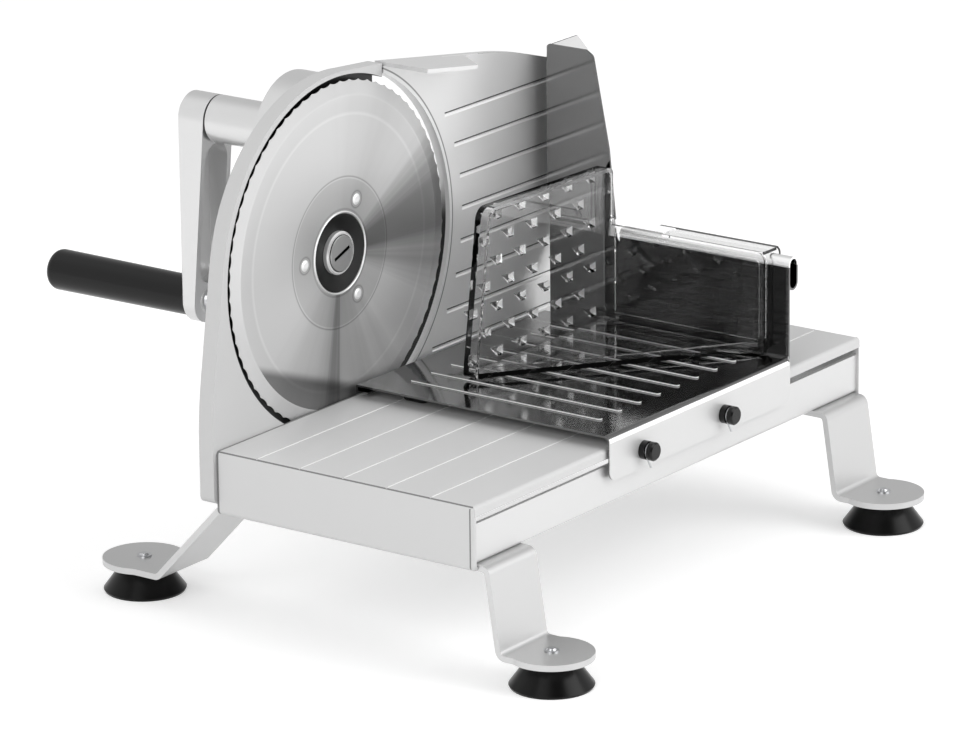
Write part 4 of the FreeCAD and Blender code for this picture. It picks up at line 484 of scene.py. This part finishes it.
rib_foot, rib_top = 0.1 * mm, 0.74 * mm
rib_flanks = within(polished, (sled_low.x, sled_low.y, table_top + rib_foot),
                    (inner_side, sled_high.y, table_top + rib_top))
fold_drop, fold_rise, fold_depth, apron_depth = 3.4 * mm, 1 * mm, 0.7 * mm, 0.4 * mm
front_fold = within(polished, (sled_low.x, sled_low.y - far, table_top - fold_drop),
                    (wall_face, sled_low.y + fold_depth, table_top + fold_rise))
apron = within(polished, (sled_low.x - far, sled_low.y - far, sled_low.z - far),
               (sled_high.x + far, sled_low.y + apron_depth, sled_high.z + far))

flange_middle, half_flange, flange_bend = sled_high.y - 3.45 * mm, 2.2 * mm, 1.5 * mm
flange_front = within(
    polished, (wall_face + flange_bend, flange_middle - half_flange, table_top),
    (sled_high.x + far, flange_middle, sled_high.z + far))
# The back of the flange near the wall is painted as shade, for the gap before the stop plate.
shade_start, shade_end, shade_depth = 0.5 * mm, 22 * mm, 2.8 * mm
flange_back = within(
    polished, (wall_face + shade_start, flange_middle, table_top),
    (wall_face + shade_end, flange_middle + shade_depth, sled_high.z + far))

crown_low, crown_high = table_top + 46.5 * mm, table_top + 55 * mm
tube_crown = within(polished, (inner_side, sled_low.y - far, crown_low),
                    (sled_high.x, tube_end, crown_high))
wall_start, wall_foot = 2 * mm, 1 * mm
side_wall = within(polished, (inner_side, sled_low.y + wall_start, table_top + wall_foot),
                   (sled_high.x + far, tube_end, crown_low))

white_highlight = add(polished, "Math", {"operation": "MAXIMUM"}, _0=(rib_flanks, 0),
                   _1=(front_fold, 0))
pale_highlight = white_highlight
for part in (apron, flange_front):
    pale_highlight = add(polished, "Math", {"operation": "MAXIMUM"}, _0=(pale_highlight, 0), _1=(part, 0))
# Painted dark reflection on the side wall, painted shade on the flange's back, painted highlight
# on the tube's crown.
mirror_tone = add(polished, "Mix", {"data_type": "RGBA"}, Factor=(side_wall, 0),
                  _6=tone("787878"), _7=tone("444444"))
mirror_tone = add(polished, "Mix", {"data_type": "RGBA"}, Factor=(flange_back, 0),
                  _6=(mirror_tone, 2), _7=tone("0a0a0a"))
mirror_tone = add(polished, "Mix", {"data_type": "RGBA"}, Factor=(tube_crown, 0),
                  _6=(mirror_tone, 2), _7=tone("ffffff"))
# Painted highlights: white on the ribs and the front fold, paler on the apron and the flange's
# front.
highlight_tone = add(polished, "Mix", {"data_type": "RGBA"}, Factor=(white_highlight, 0),
                  _6=tone("d8d8d8"), _7=tone("ffffff"))
sled_tone = add(polished, "Mix", {"data_type": "RGBA"}, Factor=(pale_highlight, 0),
                _6=(mirror_tone, 2), _7=(highlight_tone, 2))
mirror_rough, crown_rough, highlight_rough = 0.1, 0.24, 0.42
roughness = add(polished, "Mix", Factor=(tube_crown, 0), _2=mirror_rough, _3=crown_rough)
roughness = add(polished, "Mix", Factor=(pale_highlight, 0), _2=(roughness, 0), _3=highlight_rough)
mirror_metal, highlight_metal, white_metal = 1.0, 0.5, 0.1
metal = add(polished, "Mix", Factor=(pale_highlight, 0), _2=mirror_metal, _3=highlight_metal)
metal = add(polished, "Mix", Factor=(white_highlight, 0), _2=(metal, 0), _3=white_metal)
close(polished, add(polished, "BsdfPrincipled", Base_Color=(sled_tone, 2), Metallic=(metal, 0),
                    Roughness=(roughness, 0)))
dress("sled", polished, 0.25)

# Remnant holder: one moulding in clear polystyrene, hooked over the sled's tube. It is seen
# through, reflects little, and goes dark along its edges.
clear = new_finish("clear_polystyrene")
close(clear, add(clear, "BsdfPrincipled", Base_Color=tone("f8f8f8"), Roughness=0.0, IOR=1.45,
                 Specular_IOR_Level=0.15, Transmission_Weight=1.0))
dress("remnant_holder", clear, 0.4)

# Camera: a long lens from the operator's left, 2.9 m away and 17 degrees up, rolled by half a
# degree. Angles are counted from the slicer's front, and its aim from the blade's hub.
camera = bpy.data.cameras.new("camera")
camera.lens, camera.sensor_width = 222.94, 36.0
camera.clip_start, camera.clip_end = 0.1, 20.0
eye = bpy.data.objects.new("camera", camera)
scene.collection.objects.link(eye)
azimuth, elevation, roll = (math.radians(a) for a in (-53.794, 17.013, -0.607))
distance, aim_right, aim_up = 2.907485, 0.070595, -0.056354
back = Vector((math.sin(azimuth) * math.cos(elevation), -math.cos(azimuth) * math.cos(elevation),
               math.sin(elevation)))
right = Vector((math.cos(azimuth), math.sin(azimuth), 0.0))
up = back.cross(right)
target = hub + right * aim_right + up * aim_up
axes = Matrix((right * math.cos(roll) + up * math.sin(roll),
               up * math.cos(roll) - right * math.sin(roll), back)).transposed().to_4x4()
eye.matrix_world = Matrix.Translation(target + back * distance) @ axes
scene.camera = eye
scene.render.resolution_x, scene.render.resolution_y = 970, 735

# Floor: a wide table top in matt white, seen a little lighter than it lights the slicer, so
# that it joins the white surroundings and keeps only a soft shadow.
floor_half = 8.0
floor_grid = bmesh.new()
bmesh.ops.create_grid(floor_grid, x_segments=1, y_segments=1, size=floor_half)
floor_mesh = bpy.data.meshes.new("floor")
floor_grid.to_mesh(floor_mesh)
floor_grid.free()
floor = bpy.data.objects.new("floor", floor_mesh)
scene.collection.objects.link(floor)
table = new_finish("white_table")
ray = add(table, "LightPath")
seen = add(table, "Math", {"operation": "SUBTRACT"}, _0=1.0, _1=(ray, "Is Diffuse Ray"))
matt = add(table, "BsdfDiffuse", Color=tone("ececec"))
glow = add(table, "Emission", Strength=0.38)
lifted = add(table, "AddShader", _0=(matt, 0), _1=(glow, 0))
close(table, add(table, "MixShader", _0=(seen, 0), _1=(matt, 0), _2=(lifted, 0)))
floor_mesh.materials.append(table)

# Surroundings: pale studio walls, darker behind the camera and high at the back right, which
# is what the polished steel mirrors; plain white where the camera looks.
studio = bpy.data.worlds.new("studio")
scene.world = studio
studio.use_nodes = True
studio.node_tree.nodes.clear()
look = add(studio, "TexCoord")
wall_level = 0.95
patches = []
for direction, rim, middle, amount in ((back + Vector((0, 0, 0.25)), 0.45, 0.85, 0.72),
                                       (Vector((0.77, 0.56, 0.45)), 0.55, 0.95, 0.35)):
    facing = add(studio, "VectorMath", {"operation": "DOT_PRODUCT"}, _0=(look, "Generated"),
                 _1=direction.normalized())
    patches.append(add(studio, "MapRange", {"interpolation_type": "SMOOTHSTEP"},
                       _0=(facing, 1), _1=rim, _2=middle, _3=0.0, _4=amount))
darker = add(studio, "Math", {"operation": "ADD"}, _0=(patches[0], 0), _1=(patches[1], 0))
level = add(studio, "Math", {"operation": "SUBTRACT"}, _0=wall_level, _1=(darker, 0))
ray = add(studio, "LightPath")
seen = add(studio, "Math", {"operation": "MAXIMUM"}, _0=(ray, "Is Camera Ray"),
           _1=(ray, "Is Transmission Ray"))
strength = add(studio, "Mix", Factor=(seen, 0), _2=(level, 0), _3=1.0)
sky = add(studio, "Background", Color=tone("ffffff"), Strength=(strength, 0))
add(studio, "OutputWorld", Surface=(sky, 0))

# Lights: a big soft box over the front and a slightly weaker one from the left, both aimed at
# the slicer's middle. They are wide, so that shadows stay soft.
slicer_middle = Vector((0, 0, 0.12))
for label, stand, power, width in (("key", Vector((0.5, -1.7, 1.0)), 17.0, 1.5),
                                   ("side", Vector((-1.8, -0.4, 1.0)), 15.0, 1.2)):
    lamp = bpy.data.lights.new(label, "AREA")
    lamp.energy, lamp.size = power, width
    light = bpy.data.objects.new(label, lamp)
    scene.collection.objects.link(light)
    light.location = stand
    light.rotation_euler = (slicer_middle - stand).to_track_quat("-Z", "Y").to_euler()

scene.view_settings.view_transform = "Standard"
